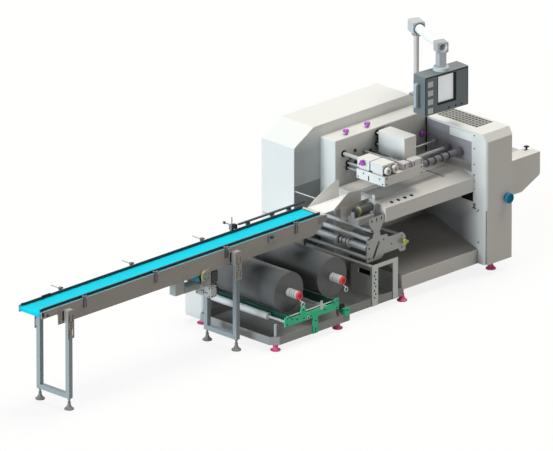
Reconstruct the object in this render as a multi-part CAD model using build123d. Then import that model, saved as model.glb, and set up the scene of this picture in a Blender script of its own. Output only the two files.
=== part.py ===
from build123d import *
import os
from math import atan2, degrees

# Flow wrap machine: infeed belt conveyor, reel unwinder, forming box, sealing table, end sealing
# cabinet and discharge conveyor. Sizes are in millimetres.
# Layout lines: x runs with the product from the first pair of conveyor legs (x = 0), y runs from the
# centre line of the product to the back of the machine, z runs up from the floor. The finished parts
# are moved so that the origin is on the floor under the middle of the machine.

# Clearances
seat_gap = 0.1          # around a fixed rod in its hole, on the radius
journal_gap = 0.08      # around a turning journal, on the radius
end_gap = 0.3           # beside a turning part, along its axis

# Infeed conveyor
belt_top = 868
belt_width = 236
belt_thickness = 3
belt_start = -272
belt_end = 2885
nose_roller_radius = 20
drum_x = 1545
drum_z = 712
drum_radius = 60
drum_neck_z = 790
roller_shaft_radius = 6
plate_play = 4
plate_thickness = 8
plate_rise = 6
plate_height = 150
plate_start = -268
plate_nose_height = 58
plate_nose_length = 186
plate_nose_radius = 8
plate_step_round = 22
plate_end = 2890
plate_taper = (110, 62)
bed_thickness = 3
bed_flange = 35
bed_end_play = 18
tension_block_x = (2262, 2350)
tension_block_z = (806, 858)
tension_block_depth = 14
tension_knob_at = (2288, 846)
tension_knob_radius = 15
tension_knob_depth = 18

# Product guides over the belt
guide_pitch = 196
guide_thickness = 8
guide_height = 20
guide_lift = 4
guide_start = -262
guide_end = 2880
guide_flare = 40
guide_flare_out = 7
guide_rod_radius = 5
first_station = 210
station_pitch = 790
station_count = 4
strap_width = 34
strap_thickness = 5
strap_drop = 78
strap_groove = (5, 2.5)
clamp_size = (26, 20, 24)
front_rod_reach = 32
back_rod_reach = 118
back_guide_start = 2205
back_guide_end = 2950
back_guide_width = 22
back_guide_thickness = 10
back_guide_posts = (2305, 2769)
sensor_x = 2126
sensor_block = (24, 22, 40)
sensor_rod_radius = 4
sensor_rod_top = 982
sensor_arm_z = 914
sensor_arm_y = (85, 240)

# Conveyor legs
leg_frame_x = (0, 1870)
leg_size = 40
leg_gap = 8                         # from the bracket's web to the leg
leg_top = 842
foot_height = 93
foot_radius = 39
foot_rim = 8
foot_cone = 62
foot_neck_rise = 5
foot_flank_sag = 7
foot_stem_radius = 8
foot_nut_radius = 13
foot_nut_height = 9
bracket_thickness = 6
bracket_bottom = 735
bracket_half_width = 54
slot_plate_bottom = 602
slot_plate_width = 70
slot_width = 12
slot_length = 62
slot_z = (650, 770)
slot_pitch = 36

# Belt drive under the conveyor
cheek_x = (1512, 1612)
cheek_top = 762
cheek_thickness = 8
cheek_round = 24
drum_bearing_radius = 46
drum_bearing_depth = 12
drum_bearing_bevel = 4
shelf_end = 1692
shelf_z = 620
shelf_thickness = 6
chain_case_x = (1622, 1690)
chain_case_y = (-136, -96)
chain_case_height = 92
gearbox_x = (1619, 1685)
gearbox_y = (-130, 48)
gearbox_height = 92
gearbox_neck = (14, 32)             # inset from the gearbox's sides, height up to the shelf
gearbox_round = 7
motor_radius = 39
motor_y = 31
motor_drop = 10                     # from the gearbox's top to the motor's axis
motor_length = 167
end_box = (107, 74, 111)
end_box_lift = 13
end_box_round = 12

# Unwinder base
tray_x = 2035
tray_front = -428
tray_step_x = 2897
tray_step_front = -331
tray_end = 3587
tray_bottom = 51
tray_height = 68
tray_wall = 5
tray_floor = 6
tray_corner = 60
tray_radius = 12
stud_radius = 12
stud_top = 219
front_foot_inset = 40
front_foot_x = (53, 755)            # from the tray's infeed edge
back_foot_inset = 55
back_foot_x = (50, 730)             # from the housing's infeed edge
machine_foot_radius = 42
front_stem_radius = 18
back_stem_radius = 13
plinth_foot = (20, 16)              # beyond the tray's end, back from the plinth's front
cabinet_foot_inset = (130, 112)
cover_foot_inset = (83, 54)

# Unwinder housing and reels
housing_x = (2060, 3117)
housing_depth = 196
housing_top = 620
housing_corner = 30
reel_x = (2294, 2786)
reel_z = 425
roll_radius = 165
roll_width = 660
core_radius = 38
nose_length = 114                   # from the roll's end face to the mandrel's tip
mandrel_nose_radius = 35
nose_groove = (6, 3)
nose_groove_pitch = 24
nose_groove_count = 3
cap_radius = 31
cap_length = 16
cap_recess = (20, 5)
journal_radius = 25
bearing_radius = 55
bearing_length = 30
bearing_gap = 38                    # from the stop flange to the bearing
bearing_bevel = 5
flange_radius = 62
flange_thickness = 8
pull_ring_radius = 18
pull_ring_wire = 3.5
pull_ring_drop = 64
pull_ring_reach = 30            # in front of the cap

# Splice frame
splice_x = (2145, 2756)
splice_z = (190, 250)
splice_thickness = 10
splice_end_width = 42
splice_end_tops = (266, 284)
splice_post_x = (2464, 2520)
splice_horn_x = (2330, 2384)
splice_horn_top = 304
splice_ear_round = 9
splice_arm_x = (2198, 2700)
splice_arm_z = (206, 274)
splice_bar_at = (2640, 228)
splice_bar_radius = 15
splice_rod_radius = 5
splice_rod_z = 262
splice_rod_offset = 10
splice_rod_margin = 12
splice_tab_x = 2543
splice_tab_width = 26
splice_tab_z = (238, 312)
splice_tab_thickness = 5
splice_tab_hole = 5
end_bracket_x = (2828, 2880)
end_bracket_z = (98, 172)
end_bracket_depth = 62

# Low roller in front of the first reel
low_roller_at = (2160, 230)
low_roller_radius = 30
low_roller_front = -240
low_shaft_radius = 12

# Film rollers, each at (x, z, radius), between the front and back film plates
film_rollers = ((3264, 437, 17), (3264, 523, 30), (3264, 600, 20), (3300, 662, 16))
roller_axle_radius = 8
roller_collar_radius = 14
roller_collar_thickness = 6
sleeve_roller = 1
sleeve_radius = 37
sleeve_width = 24
sleeve_y = (-58, 66)

# Film plates and post frame
film_plate_y = -274
film_plate_thickness = 6
film_plate_outline = (
    (3238, 404), (3238, 600), (3308, 600), (3322, 644), (3262, 728), (3262, 775), (3438, 775),
    (3438, 728), (3388, 644), (3396, 600), (3464, 600), (3488, 568), (3645, 568), (3680, 530),
    (3680, 406), (3620, 406), (3600, 438), (3440, 438), (3400, 404),
)
film_plate_round = 8
plate_slot_ends = ((3317, 434), (3374, 546))
plate_slot_width = 24
plate_hole_radius = 6
plate_holes = ((3252, 560), (3252, 480), (3430, 560), (3520, 500), (3600, 500))
upstand_slots = (3296, 3350, 3404)
upstand_slot_z = 748
upstand_slot = (30, 12)
wall_plate_x = (3228, 3408)
wall_plate_z = (350, 700)
wall_plate_round = 18
tie_bar_radius = 12
tie_bars = ((3440, 500), (3640, 540), (3640, 440))
plate_knob_at = (3655, 488)
carrier_tube_at = (3252, 381)
carrier_tube_radius = 15
post_frame_x = (3237, 3531)
post_frame_z = (51, 400)
post_frame_thickness = 6
post_width = 68
right_post_width = 57
post_bar_height = 34
post_hole_radius = 6.5
post_hole_inset = (26, 40)
post_hole_z = (120, 150, 180, 215, 245, 275, 305, 335)
post_return_length = 238
post_return_z = (140, 362)
return_window_y = (12, 150)         # back from the post frame
return_window_z = (306, 350)

# Forming box between the conveyor and the table
forming_x = (2925, 3500)
forming_half_width = 94
forming_thickness = 4
front_wing_outline = ((3033, 0), (3203, 110), (3350, 97), (3350, 0))        # z above the table
back_wing_outline = ((2935, 0), (3040, 64), (3240, 148), (3291, 148), (3291, 0))
mouth_gap = 3
ear_length = 60
ear_drop = 45
steady_rod_x = 3130
steady_rod_radius = 4
forming_skirt_x = (3120, 3300)
forming_skirt_drop = 116
film_drive_x = (3150, 3330)
film_drive_back = -150
film_drive_z = (745, 797)
film_motor_radius = 34
film_motor_x = (3172, 3362)
film_motor_y = -200
film_motor_saddle = 10
end_post = (6, 30, 44)              # thickness, width, rise above the table
end_post_y = -165
end_post_drop = 120

# Housings
body_bottom = 97
cover_x = (3117, 4656)
cover_gap = 20                      # behind the tray
cover_back = 794
cover_top = 1360
cover_chamfer = (221, 128)
cover_round = 14
inner_x = 3415
inner_front = 260
inner_top = 1262
inner_round = 10
cabinet_x = (4460, 4763)
cabinet_front = -414
cabinet_seam = 577
cabinet_top = 1211
cabinet_chamfer = (40, 62)
cabinet_round = 32
cabinet_far_round = 8
tunnel_y = (-251, 250)
tunnel_roof = 18
guard_recess = 6
guard_thickness = 8
guard_lift = 74
grille_x = (4546, 4740)
grille_y = (-222, 232)
grille_thickness = 4
grille_ledge = 8
grille_hole_radius = 5
grille_hole_rows = (3, 4)
plinth_front = -324
plinth_top = 217
plinth_rise = 163
plinth_slope_end = 151
table_x = 3444
table_front = -283
table_bottom = 704
table_edge_z = 824
table_top = 861
table_slope_end = -147
table_hole_radius = 12.5
table_hole_count = 4
table_hole_start = 111              # from the table's infeed end
table_hole_pitch = 75.5
table_hole_inset = 43               # from the table's front edge
table_hole_depth = 60
table_slot_y = (16, 82)
table_slot_width = 12
table_slot_depth = 20
table_slot_x = (3520, 4440)

# Handwheel and clamping knobs
handwheel_at = (4697, 625)
handwheel_radius = 43
handwheel_width = 26
handwheel_round = 6
handwheel_dish = (27, 6)
handwheel_stem = 18
handwheel_shaft_radius = 9
handwheel_bore_depth = 30
knob_radius = 21
knob_height = 22
knob_lobes = 3
knob_lobe_radius = 12
knob_round = 3
knob_stem_radius = 7
knob_stem = 16
top_knob_x = (3596, 3839)
top_knob_y = 314
front_knob_at = (4394, 1077)
box_knob_at = (-3, 1134)

# Discharge conveyor
discharge_end = 5103
discharge_top = 908
discharge_bottom = 615
discharge_cut = (209, 99)
discharge_round = 18
discharge_front = -394
discharge_strip = 90
discharge_recess = 12
discharge_back = 260
discharge_belt_half = 215
discharge_belt_drop = 28
discharge_roller_radius = 27
discharge_play = 10

# Sealing unit over the table
unit_x = (3478, 3919)
unit_y = (-237, 79)
unit_z = (984, 1065)
unit_rod_x = (3557, 3850)
unit_rod_z = (1004, 1044)
unit_rod_radius = 10
box_length = 136
box_front_y = (-213, -73)
box_back_y = (-64, 72)
box_z = (1086, 1158)
box_inset = 12
box_round = 4
box_rod_at = (34, 1134)
box_rod_radius = 15
drum_offsets = (43, 121)
drum_face_radius = 31
drum_face_z = 1106
drum_face_length = 30
drum_hub_radius = 13
drum_hub_depth = 6
cover_box_x = (3866, 4002)
cover_box_y = (-76, 218)
cover_box_top = 1250
cover_box_round = 5
cover_box_rods = ((3890, 1120), (3890, 1215), (3978, 1120))
cover_rod_radius = 9
long_shafts = ((-120, 1008, 28), (8, 1008, 20), (150, 1028, 9))
shaft_collar_rise = 9
shaft_collar_length = 34
shaft_collar_back = 22
thin_shaft_block = (42, 36, 55)
clamp_block_x = ((3700, 3780), (3804, 3915))
clamp_block_y = (-232, -160)
clamp_block_height = 56
clamp_block_bevel = 8
hook_x = 4225
hook_y = (27, -171)
hook_radius = 5
hook_rise = 26

# Operator panel on its arm
pole_x = 4542
pole_radius = 22
pole_foot = (100, 60)
pole_foot_rise = 113
arm_z = 1907
arm_radius = 38
arm_wall = 5
elbow_size = (116, 104, 106)
elbow_round = 14
collar_radius = 34
collar_height = 28
panel_at = (4342, -18)
panel_turn = -4.5
panel_size = (464, 147, 329)
panel_edge = 8
ring_radius = 65
ring_height = 33
ring_bevel = 8
spigot_radius = 22
spigot_length = 20
coupling_size = (84, 60)
coupling_neck = 121
hood_size = (84, 96, 90)
hood_round = 10
screen_size = (197, 245)
screen_at = (2, 24)
screen_recess = 26
screen_thickness = 4
button_size = (50, 46)
button_rise = 4
button_inset = 58
button_start = 97
button_pitch = 75
button_count = 4
handle_section = (12, 28)
handle_span = 200
handle_reach = 40
handle_bend = 16

# Derived heights and faces of the conveyor
plate_inner = belt_width / 2 + plate_play
plate_outer = plate_inner + plate_thickness
leg_centre_y = plate_outer + bracket_thickness + leg_gap + leg_size / 2
plate_top = belt_top + plate_rise
plate_bottom = plate_top - plate_height
belt_outer_radius = nose_roller_radius + belt_thickness
end_roller_z = belt_top - belt_outer_radius
nose_roller_x = belt_start + belt_outer_radius
end_roller_x = belt_end - belt_outer_radius
guide_z = belt_top + guide_lift
guide_rod_z = guide_z + guide_height / 2
guide_face = guide_pitch / 2 + guide_thickness / 2
clamp_top = guide_rod_z + clamp_size[2] / 2
stations = [first_station + station_pitch * i for i in range(station_count)]

# Derived places on the machine
tray_top = tray_bottom + tray_height
tray_back = roll_width / 2 + flange_thickness + bearing_gap + bearing_length
mandrel_tip = -roll_width / 2 - nose_length
cover_y = (tray_back + cover_gap, cover_back)
pole_at = (pole_x, cover_y[0] + pole_foot[1] / 2)
housing_back = tray_back + housing_depth
wall_plate_y = cover_y[0] - film_plate_thickness
front_feet = [(tray_x + dx, tray_front + front_foot_inset) for dx in front_foot_x]
back_feet = [(housing_x[0] + dx, tray_back + back_foot_inset) for dx in back_foot_x]
body_feet = [
    (tray_end + plinth_foot[0], plinth_front + plinth_foot[1]),
    (cabinet_x[1] - cabinet_foot_inset[0], cabinet_front + cabinet_foot_inset[1]),
    (cover_x[0] + cover_foot_inset[0], cover_y[1] - cover_foot_inset[1]),
    (cover_x[1] - cover_foot_inset[0], cover_y[1] - cover_foot_inset[1]),
]
tunnel_top = cabinet_top - tunnel_roof
guard_bottom = table_top + guard_lift
table_holes = [table_x + table_hole_start + table_hole_pitch * i for i in range(table_hole_count)]
discharge_belt_top = discharge_top - discharge_belt_drop
box_x = (unit_x[0], unit_x[0] + box_length)
pole_foot_top = cover_top - cover_chamfer[1] + pole_foot_rise
hood_bottom = arm_z - hood_size[2] / 2
neck_bottom = hood_bottom - coupling_neck
panel_top = neck_bottom - end_gap - ring_height
panel_bottom = panel_top - panel_size[2]
arm_turn = degrees(atan2(panel_at[1] - pole_at[1], panel_at[0] - pole_at[0]))

# Origin of the finished parts in layout coordinates
overall_front = mandrel_tip - cap_length - pull_ring_reach - pull_ring_wire
origin = (
    (belt_start + discharge_end) / 2,
    (overall_front + cover_y[1]) / 2,
)


def block(x, y, z):
    """Rectangular block between two corners, each axis given as (low, high)."""
    size = [b - a for a, b in (x, y, z)]
    middle = [(a + b) / 2 for a, b in (x, y, z)]
    return Pos(*middle) * Box(*size)


def rod_x(radius, x, y, z):
    """Round bar along x between the two ends in x."""
    return Pos(x[0], y, z) * Rot(0, 90, 0) * Cylinder(radius, x[1] - x[0], align=bar_align)


def rod_y(radius, x, y, z):
    """Round bar along y between the two ends in y."""
    return Pos(x, y[0], z) * Rot(-90, 0, 0) * Cylinder(radius, y[1] - y[0], align=bar_align)


def rod_z(radius, x, y, z):
    """Round bar along z between the two ends in z."""
    return Pos(x, y, z[0]) * Cylinder(radius, z[1] - z[0], align=bar_align)


bar_align = (Align.CENTER, Align.CENTER, Align.MIN)


def outline(*points):
    return make_face(Polyline(*points, close=True))


def rounded_outline(points, radius):
    return make_face(FilletPolyline(*points, radius=radius, close=True))


def area(across, up):
    """Rectangle between two limits each way."""
    return Pos(sum(across) / 2, sum(up) / 2) * Rectangle(across[1] - across[0], up[1] - up[0])


def round_at(x, y, radius):
    return Pos(x, y) * Circle(radius)


def along_x(sketch, x):
    """Extrude an outline drawn in (y, z) between the two ends in x."""
    return Pos(x[0], 0, 0) * extrude(Plane.YZ * sketch, amount=x[1] - x[0], dir=(1, 0, 0))


def along_y(sketch, y):
    """Extrude an outline drawn in (x, z) between the two ends in y."""
    return Pos(0, y[0], 0) * extrude(Plane.XZ * sketch, amount=y[1] - y[0], dir=(0, 1, 0))


def along_z(sketch, z):
    return Pos(0, 0, z[0]) * extrude(sketch, amount=z[1] - z[0])


def corner_of(sketch, x, y):
    return sketch.vertices().sort_by_distance((x, y, 0))[0]


def edge_near(solid, axis, point):
    """The edge along the axis that lies nearest to the point."""
    return solid.edges().filter_by(axis).sort_by_distance(point)[0]


def mirrored(part):
    """The same part on the other side of the product's centre line."""
    return mirror(part, about=Plane.XZ)


def save(name, *solids):
    """Move the solids from layout coordinates to the finished origin and write one STEP file."""
    placed = [Pos(-origin[0], -origin[1], 0) * solid for solid in solids]
    shape = placed[0] if len(placed) == 1 else Compound(children=placed)
    export_step(shape, f"parts/{name}.step")


# Infeed conveyor

def side_plate():
    """Folded side plate: slim nose, full depth behind it, bottom corner cut away at the far end."""
    nose_bottom = plate_top - plate_nose_height
    step_x = plate_start + plate_nose_length
    cut_x, cut_z = plate_taper
    face = outline(
        (plate_start, nose_bottom),
        (step_x, nose_bottom),
        (step_x, plate_bottom),
        (plate_end - cut_x, plate_bottom),
        (plate_end, plate_bottom + cut_z),
        (plate_end, plate_top),
        (plate_start, plate_top),
    )
    face = fillet(face.vertices().group_by(Axis.X)[0], plate_nose_radius)
    face = fillet(corner_of(face, step_x, nose_bottom), plate_step_round)
    plate = along_y(face, (plate_inner, plate_outer))
    for x, z in plate_rollers():
        plate -= rod_y(roller_shaft_radius + seat_gap, x, (plate_inner, plate_outer), z)
    return plate


def plate_rollers():
    """Centres of the two end rollers, whose shafts sit in the side plates."""
    return (nose_roller_x, end_roller_z), (end_roller_x, end_roller_z)


def belt_region(inset):
    """Area inside the belt's outer face, drawn in by inset: a long loop and the dip round the drum."""
    radius = belt_outer_radius - inset
    loop = make_hull((round_at(nose_roller_x, end_roller_z, radius)
                      + round_at(end_roller_x, end_roller_z, radius)).edges())
    dip_radius = drum_radius + belt_thickness - inset
    dip = make_hull((round_at(drum_x, drum_z, dip_radius)
                     + round_at(drum_x, drum_neck_z, dip_radius)).edges())
    return loop + dip


def conveyor_belt():
    ring = belt_region(0) - belt_region(belt_thickness)
    return along_y(ring, (-belt_width / 2, belt_width / 2))


def belt_roller(x, z, radius, shaft_end):
    """Belt roller with a fixed shaft that reaches the same distance out on both sides."""
    half = belt_width / 2
    shaft = rod_y(roller_shaft_radius, x, (-shaft_end, shaft_end), z)
    return rod_y(radius - end_gap, x, (-half, half), z) + shaft


def slider_bed():
    """Folded sheet under the top run, its flanges against the side plates."""
    top = belt_top - belt_thickness - end_gap
    z = (top - bed_flange, top)
    x = (nose_roller_x + nose_roller_radius + bed_end_play, end_roller_x - nose_roller_radius - bed_end_play)
    neck = drum_radius + belt_thickness + plate_play
    sheet = block(x, (-plate_inner, plate_inner), z)
    inside = plate_inner - bed_thickness
    sheet -= block(x, (-inside, inside), (z[0], top - bed_thickness))
    return sheet - block((drum_x - neck, drum_x + neck), (-inside, inside), (z[0], top - bed_thickness))


def guide_rail(side):
    """Flat bar over the belt, its infeed end bent a little outwards."""
    near = side * (guide_pitch - guide_thickness) / 2
    far = side * guide_face
    flare = side * guide_flare_out
    face = outline(
        (guide_start, near + flare),
        (guide_start + guide_flare, near),
        (guide_end, near),
        (guide_end, far),
        (guide_start + guide_flare, far),
        (guide_start, far + flare),
    )
    return along_z(face, (guide_z, guide_z + guide_height))


def back_guide():
    """Flat bar that lies on the clamp blocks behind the belt."""
    y = (plate_outer + strap_thickness, plate_outer + strap_thickness + back_guide_width)
    return block((back_guide_start, back_guide_end), y, (clamp_top, clamp_top + back_guide_thickness))


def rail_bracket(x, bored=True):
    """Strap on the outside of the plate, ribbed along both edges, with a clamp block for the guide rod."""
    width, depth, height = clamp_size
    strap_x = (x - strap_width / 2, x + strap_width / 2)
    strap_y = (plate_outer, plate_outer + strap_thickness)
    strap_z = (plate_top - strap_drop, clamp_top)
    bracket = block(strap_x, strap_y, strap_z)
    groove_width, groove_depth = strap_groove
    for side in (-1, 1):
        middle = x + side * (strap_width / 2 - groove_width)
        groove = (middle - groove_width / 2, middle + groove_width / 2)
        bracket -= block(groove, (strap_y[1] - groove_depth, strap_y[1]), (strap_z[0], clamp_top - height))
    block_y = (strap_y[1], strap_y[1] + depth)
    bracket += block((x - width / 2, x + width / 2), block_y, (clamp_top - height, clamp_top))
    if bored:
        bracket -= rod_y(guide_rod_radius + seat_gap, x, (strap_y[0], block_y[1]), guide_rod_z)
    return bracket


def rail_rod(x, reach):
    return rod_y(guide_rod_radius, x, (guide_face, plate_outer + reach), guide_rod_z)


def sensor_mount():
    """Small block on the far plate with an upright rod and a cross rod for a sensor."""
    length, depth, height = sensor_block
    x = (sensor_x - length / 2, sensor_x + length / 2)
    y = (plate_outer, plate_outer + depth)
    rod_at = plate_outer + depth / 2
    mount = block(x, y, (plate_top - height, plate_top))
    mount += rod_z(sensor_rod_radius, sensor_x, rod_at, (plate_top, sensor_rod_top))
    return mount + rod_y(sensor_rod_radius, sensor_x, sensor_arm_y, sensor_arm_z)


def belt_tensioner():
    """Bearing block of the end roller's adjuster on the near plate, with its lobed knob."""
    y = (-plate_outer - tension_block_depth, -plate_outer)
    body = block(tension_block_x, y, tension_block_z)
    x, z = tension_knob_at
    knob_face = y[0] - tension_knob_depth
    disc = rod_y(tension_knob_radius, x, (knob_face, y[0]), z)
    return body + fillet(disc.edges().group_by(Axis.Y)[0], knob_round)


# Conveyor legs

def leg_frame(x):
    """Two square tubes joined by a crossbar at their feet."""
    half = leg_size / 2
    span_x = (x - half, x + half)
    frame = block(span_x, (-leg_centre_y, leg_centre_y), (foot_height, foot_height + leg_size))
    for side in (-1, 1):
        y = side * leg_centre_y
        frame += block(span_x, (y - half, y + half), (foot_height, leg_top))
    return frame


def leg_bracket(x):
    """Channel that holds a leg to the side plate, closed by a slotted plate on the outside."""
    half = leg_size / 2
    inner = plate_outer + bracket_thickness
    outer = leg_centre_y + half
    z = (bracket_bottom, leg_top)
    bracket = block((x - bracket_half_width, x + bracket_half_width), (plate_outer, inner), z)
    for side in (-1, 1):
        cheek = sorted((x + side * half, x + side * (half + bracket_thickness)))
        bracket += block(cheek, (inner, outer + bracket_thickness), z)
    plate_x = (x - slot_plate_width / 2, x + slot_plate_width / 2)
    bracket += block(plate_x, (outer, outer + bracket_thickness), (slot_plate_bottom, leg_top))
    for z_slot in slot_z:
        for side in (-1, 1):
            slot_at = Pos(x + side * slot_pitch / 2, z_slot)
            slot = slot_at * Rot(0, 0, 90) * SlotOverall(slot_length, slot_width)
            bracket -= along_y(slot, (outer, outer + bracket_thickness))
    return bracket


def foot(x, y, height, radius, stem_radius, stud=None):
    """Levelling foot: rimmed pad with a hollowed flank, a stem, and a threaded stud where one is given."""
    cone_top = min(foot_cone, height * 0.8)
    neck = (stem_radius + foot_neck_rise, cone_top)
    rim = (radius, foot_rim)
    top = stud if stud else height
    middle = (
        (rim[0] + neck[0]) / 2 - foot_flank_sag,
        (rim[1] + neck[1]) / 2 - foot_flank_sag,
    )
    upper = [neck, (stem_radius, cone_top), (stem_radius, height)]
    if stud:
        upper += [(stud_radius, height), (stud_radius, top)]
    profile = ThreePointArc(rim, middle, neck) + Polyline(*upper, (0, top), (0, 0), (radius, 0), rim)
    return Pos(x, y, 0) * revolve(Plane.XZ * make_face(profile), Axis.Z)


def conveyor_foot(x, y):
    """Levelling foot with a lock nut under the leg."""
    nut = rod_z(foot_nut_radius, x, y, (foot_height - foot_nut_height, foot_height))
    return foot(x, y, foot_height, foot_radius, foot_stem_radius) + nut


# Belt drive

def drive_bracket():
    """Two cheeks bolted outside the side plates carry the drum's shaft and a shelf under it."""
    outside = plate_outer + cheek_thickness
    face = area(cheek_x, (shelf_z, cheek_top))
    lower_corner = corner_of(face, cheek_x[0], shelf_z)
    face = fillet(lower_corner, cheek_round)
    cheek = along_y(face, (plate_outer, outside))
    cheek -= rod_y(roller_shaft_radius + seat_gap, drum_x, (plate_outer, outside), drum_z)
    shelf_x = (cheek_x[0] + cheek_round, shelf_end)
    shelf = block(shelf_x, (-plate_outer, plate_outer), (shelf_z, shelf_z + shelf_thickness))
    return shelf + cheek + mirrored(cheek)


def drum_bearing():
    """Round flange bearing on the outside of a cheek."""
    y = (plate_outer + cheek_thickness, plate_outer + cheek_thickness + drum_bearing_depth)
    ring = rod_y(drum_bearing_radius, drum_x, y, drum_z)
    return chamfer(ring.edges().group_by(Axis.Y)[-1], drum_bearing_bevel)


def gearmotor():
    """Gearbox hung from the shelf on its neck, with the motor and its end box to the infeed side."""
    inset, neck_height = gearbox_neck
    top = shelf_z - neck_height
    body = block(gearbox_x, gearbox_y, (top - gearbox_height, top))
    body = fillet(body.edges().filter_by(Axis.Z), gearbox_round)
    neck_x = (gearbox_x[0] + inset, gearbox_x[1] - inset)
    neck_y = (gearbox_y[0] + inset, gearbox_y[1] - inset)
    body += block(neck_x, neck_y, (top, shelf_z))
    motor_z = top - motor_drop
    motor_start = gearbox_x[0] - motor_length
    body += rod_x(motor_radius, (motor_start, gearbox_x[0]), motor_y, motor_z)
    length, width, height = end_box
    box_bottom = motor_z - motor_radius + end_box_lift
    cover = block(
        (motor_start - length, motor_start),
        (motor_y - width / 2, motor_y + width / 2),
        (box_bottom, box_bottom + height),
    )
    return body + fillet(cover.edges().filter_by(Axis.Z), end_box_round)


def chain_case():
    """Guard over the drive chain, on the shelf beside the cheek."""
    base = shelf_z + shelf_thickness
    return block(chain_case_x, chain_case_y, (base, base + chain_case_height))


# Unwinder

def base_tray():
    """Lipped sheet tray with a chamfered front corner, stepped back beside the plinth."""
    face = outline(
        (tray_x, tray_back),
        (tray_x, tray_front + tray_corner),
        (tray_x + tray_corner, tray_front),
        (tray_step_x, tray_front),
        (tray_step_x, tray_step_front),
        (tray_end, tray_step_front),
        (tray_end, inner_front),
        (inner_x, inner_front),
        (inner_x, tray_back),
    )
    tray = along_z(face, (tray_bottom, tray_top))
    tray = fillet(edge_near(tray, Axis.Z, (tray_step_x, tray_front, tray_top)), tray_radius)
    inside = offset(face, amount=-tray_wall, kind=Kind.INTERSECTION)
    tray -= along_z(inside, (tray_bottom + tray_floor, tray_top))
    for x, y in front_feet:
        tray -= rod_z(stud_radius + seat_gap, x, y, (tray_bottom, tray_top))
    return tray


def unwind_housing():
    body = block(housing_x, (tray_back, housing_back), (tray_bottom, housing_top))
    return fillet(edge_near(body, Axis.Z, (housing_x[0], tray_back, housing_top)), housing_corner)


def film_roll(x):
    y = (-roll_width / 2, roll_width / 2)
    return rod_y(roll_radius, x, y, reel_z) - rod_y(core_radius + seat_gap, x, y, reel_z)


def mandrel(x):
    """Reel shaft: journal in the bearing, stop flange, core seat, grooved nose, red cap and pull ring."""
    half = roll_width / 2
    shaft = rod_y(journal_radius, x, (half, tray_back - end_gap), reel_z)
    shaft += rod_y(flange_radius, x, (half, half + flange_thickness), reel_z)
    shaft += rod_y(core_radius, x, (-half, half), reel_z)
    nose = rod_y(mandrel_nose_radius, x, (mandrel_tip, -half), reel_z)
    groove_width, groove_depth = nose_groove
    for i in range(nose_groove_count):
        start = mandrel_tip + nose_groove_pitch * (i + 1)
        groove_y = (start, start + groove_width)
        ring = rod_y(mandrel_nose_radius, x, groove_y, reel_z)
        nose -= ring - rod_y(mandrel_nose_radius - groove_depth, x, groove_y, reel_z)
    cap_face = mandrel_tip - cap_length
    recess_radius, recess_depth = cap_recess
    cap = rod_y(cap_radius, x, (cap_face, mandrel_tip), reel_z)
    cap -= rod_y(recess_radius, x, (cap_face, cap_face + recess_depth), reel_z)
    return shaft + nose + cap + pull_ring(x)


def pull_ring(x):
    """Wire ring in front of the cap, on a bent stem out of the underside of the nose."""
    ring_y = mandrel_tip - cap_length - pull_ring_reach
    ring_z = reel_z - pull_ring_drop
    ring = Pos(x, ring_y, ring_z) * Rot(90, 0, 0) * Torus(pull_ring_radius, pull_ring_wire)
    stem_start = (x, mandrel_tip + pull_ring_wire, reel_z - mandrel_nose_radius + pull_ring_wire)
    stem_end = (x, ring_y, ring_z + pull_ring_radius)
    stem_path = Line(stem_start, stem_end)
    section = Plane(origin=stem_start, z_dir=stem_path % 0) * Circle(pull_ring_wire)
    return ring + sweep(section, stem_path) + Pos(*stem_end) * Sphere(pull_ring_wire)


def mandrel_bearing(x):
    y = (tray_back - bearing_length, tray_back)
    ring = rod_y(bearing_radius, x, y, reel_z)
    ring = chamfer(ring.edges().group_by(Axis.Y)[0], bearing_bevel)
    return ring - rod_y(journal_radius + journal_gap, x, y, reel_z)


def splice_frame():
    """Front bar with raised ends and a horn, on a post bolted to the tray, and two arms back over it."""
    x0, x1 = splice_x
    low = splice_z[0]
    left_top, right_top = splice_end_tops
    face = area(splice_x, splice_z) + area(splice_post_x, (tray_bottom, low))
    raised = (
        ((x0, x0 + splice_end_width), left_top),
        (splice_horn_x, splice_horn_top),
        ((x1 - splice_end_width, x1), right_top),
    )
    for ear_x, top in raised:
        ear = area(ear_x, (low, top))
        face += fillet(ear.vertices().group_by(Axis.Y)[-1], splice_ear_round)
    frame = along_y(face, (tray_front - splice_thickness, tray_front))
    for x in splice_arm_x:
        frame += block((x, x + splice_thickness), (tray_front, tray_back), splice_arm_z)
    return frame - rod_x(splice_rod_radius + seat_gap, splice_x, splice_rod_y(), splice_rod_z)


def splice_rod_y():
    return tray_front + splice_rod_offset


def splice_rod():
    """Thin rod through both arms, behind the front bar."""
    ends = (splice_arm_x[0] - splice_rod_margin, splice_arm_x[1] + splice_thickness + splice_rod_margin)
    return rod_x(splice_rod_radius, ends, splice_rod_y(), splice_rod_z)


def splice_tab():
    """White tab with a hole, on the front of the bar."""
    x = (splice_tab_x, splice_tab_x + splice_tab_width)
    face = area(x, splice_tab_z)
    face = fillet(face.vertices().group_by(Axis.Y)[-1], splice_ear_round)
    hole_z = splice_tab_z[1] - splice_tab_width / 2
    face -= round_at(sum(x) / 2, hole_z, splice_tab_hole)
    front = tray_front - splice_thickness
    return along_y(face, (front - splice_tab_thickness, front))


def splice_bar():
    """Round bar from the front bar to the unwinder housing."""
    x, z = splice_bar_at
    return rod_y(splice_bar_radius, x, (tray_front, tray_back), z)


def end_bracket():
    """Angle at the front corner of the tray, its flange on the tray's lip."""
    z0, z1 = end_bracket_z
    face = area(end_bracket_x, end_bracket_z)
    face = fillet(face.vertices().group_by(Axis.Y)[-1], splice_ear_round)
    plate = along_y(face, (tray_front - splice_thickness, tray_front))
    back = tray_front + end_bracket_depth
    flange_x = (end_bracket_x[0], end_bracket_x[0] + splice_thickness)
    return plate + block(flange_x, (tray_front, back), (tray_top, z1 - splice_ear_round))


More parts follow.
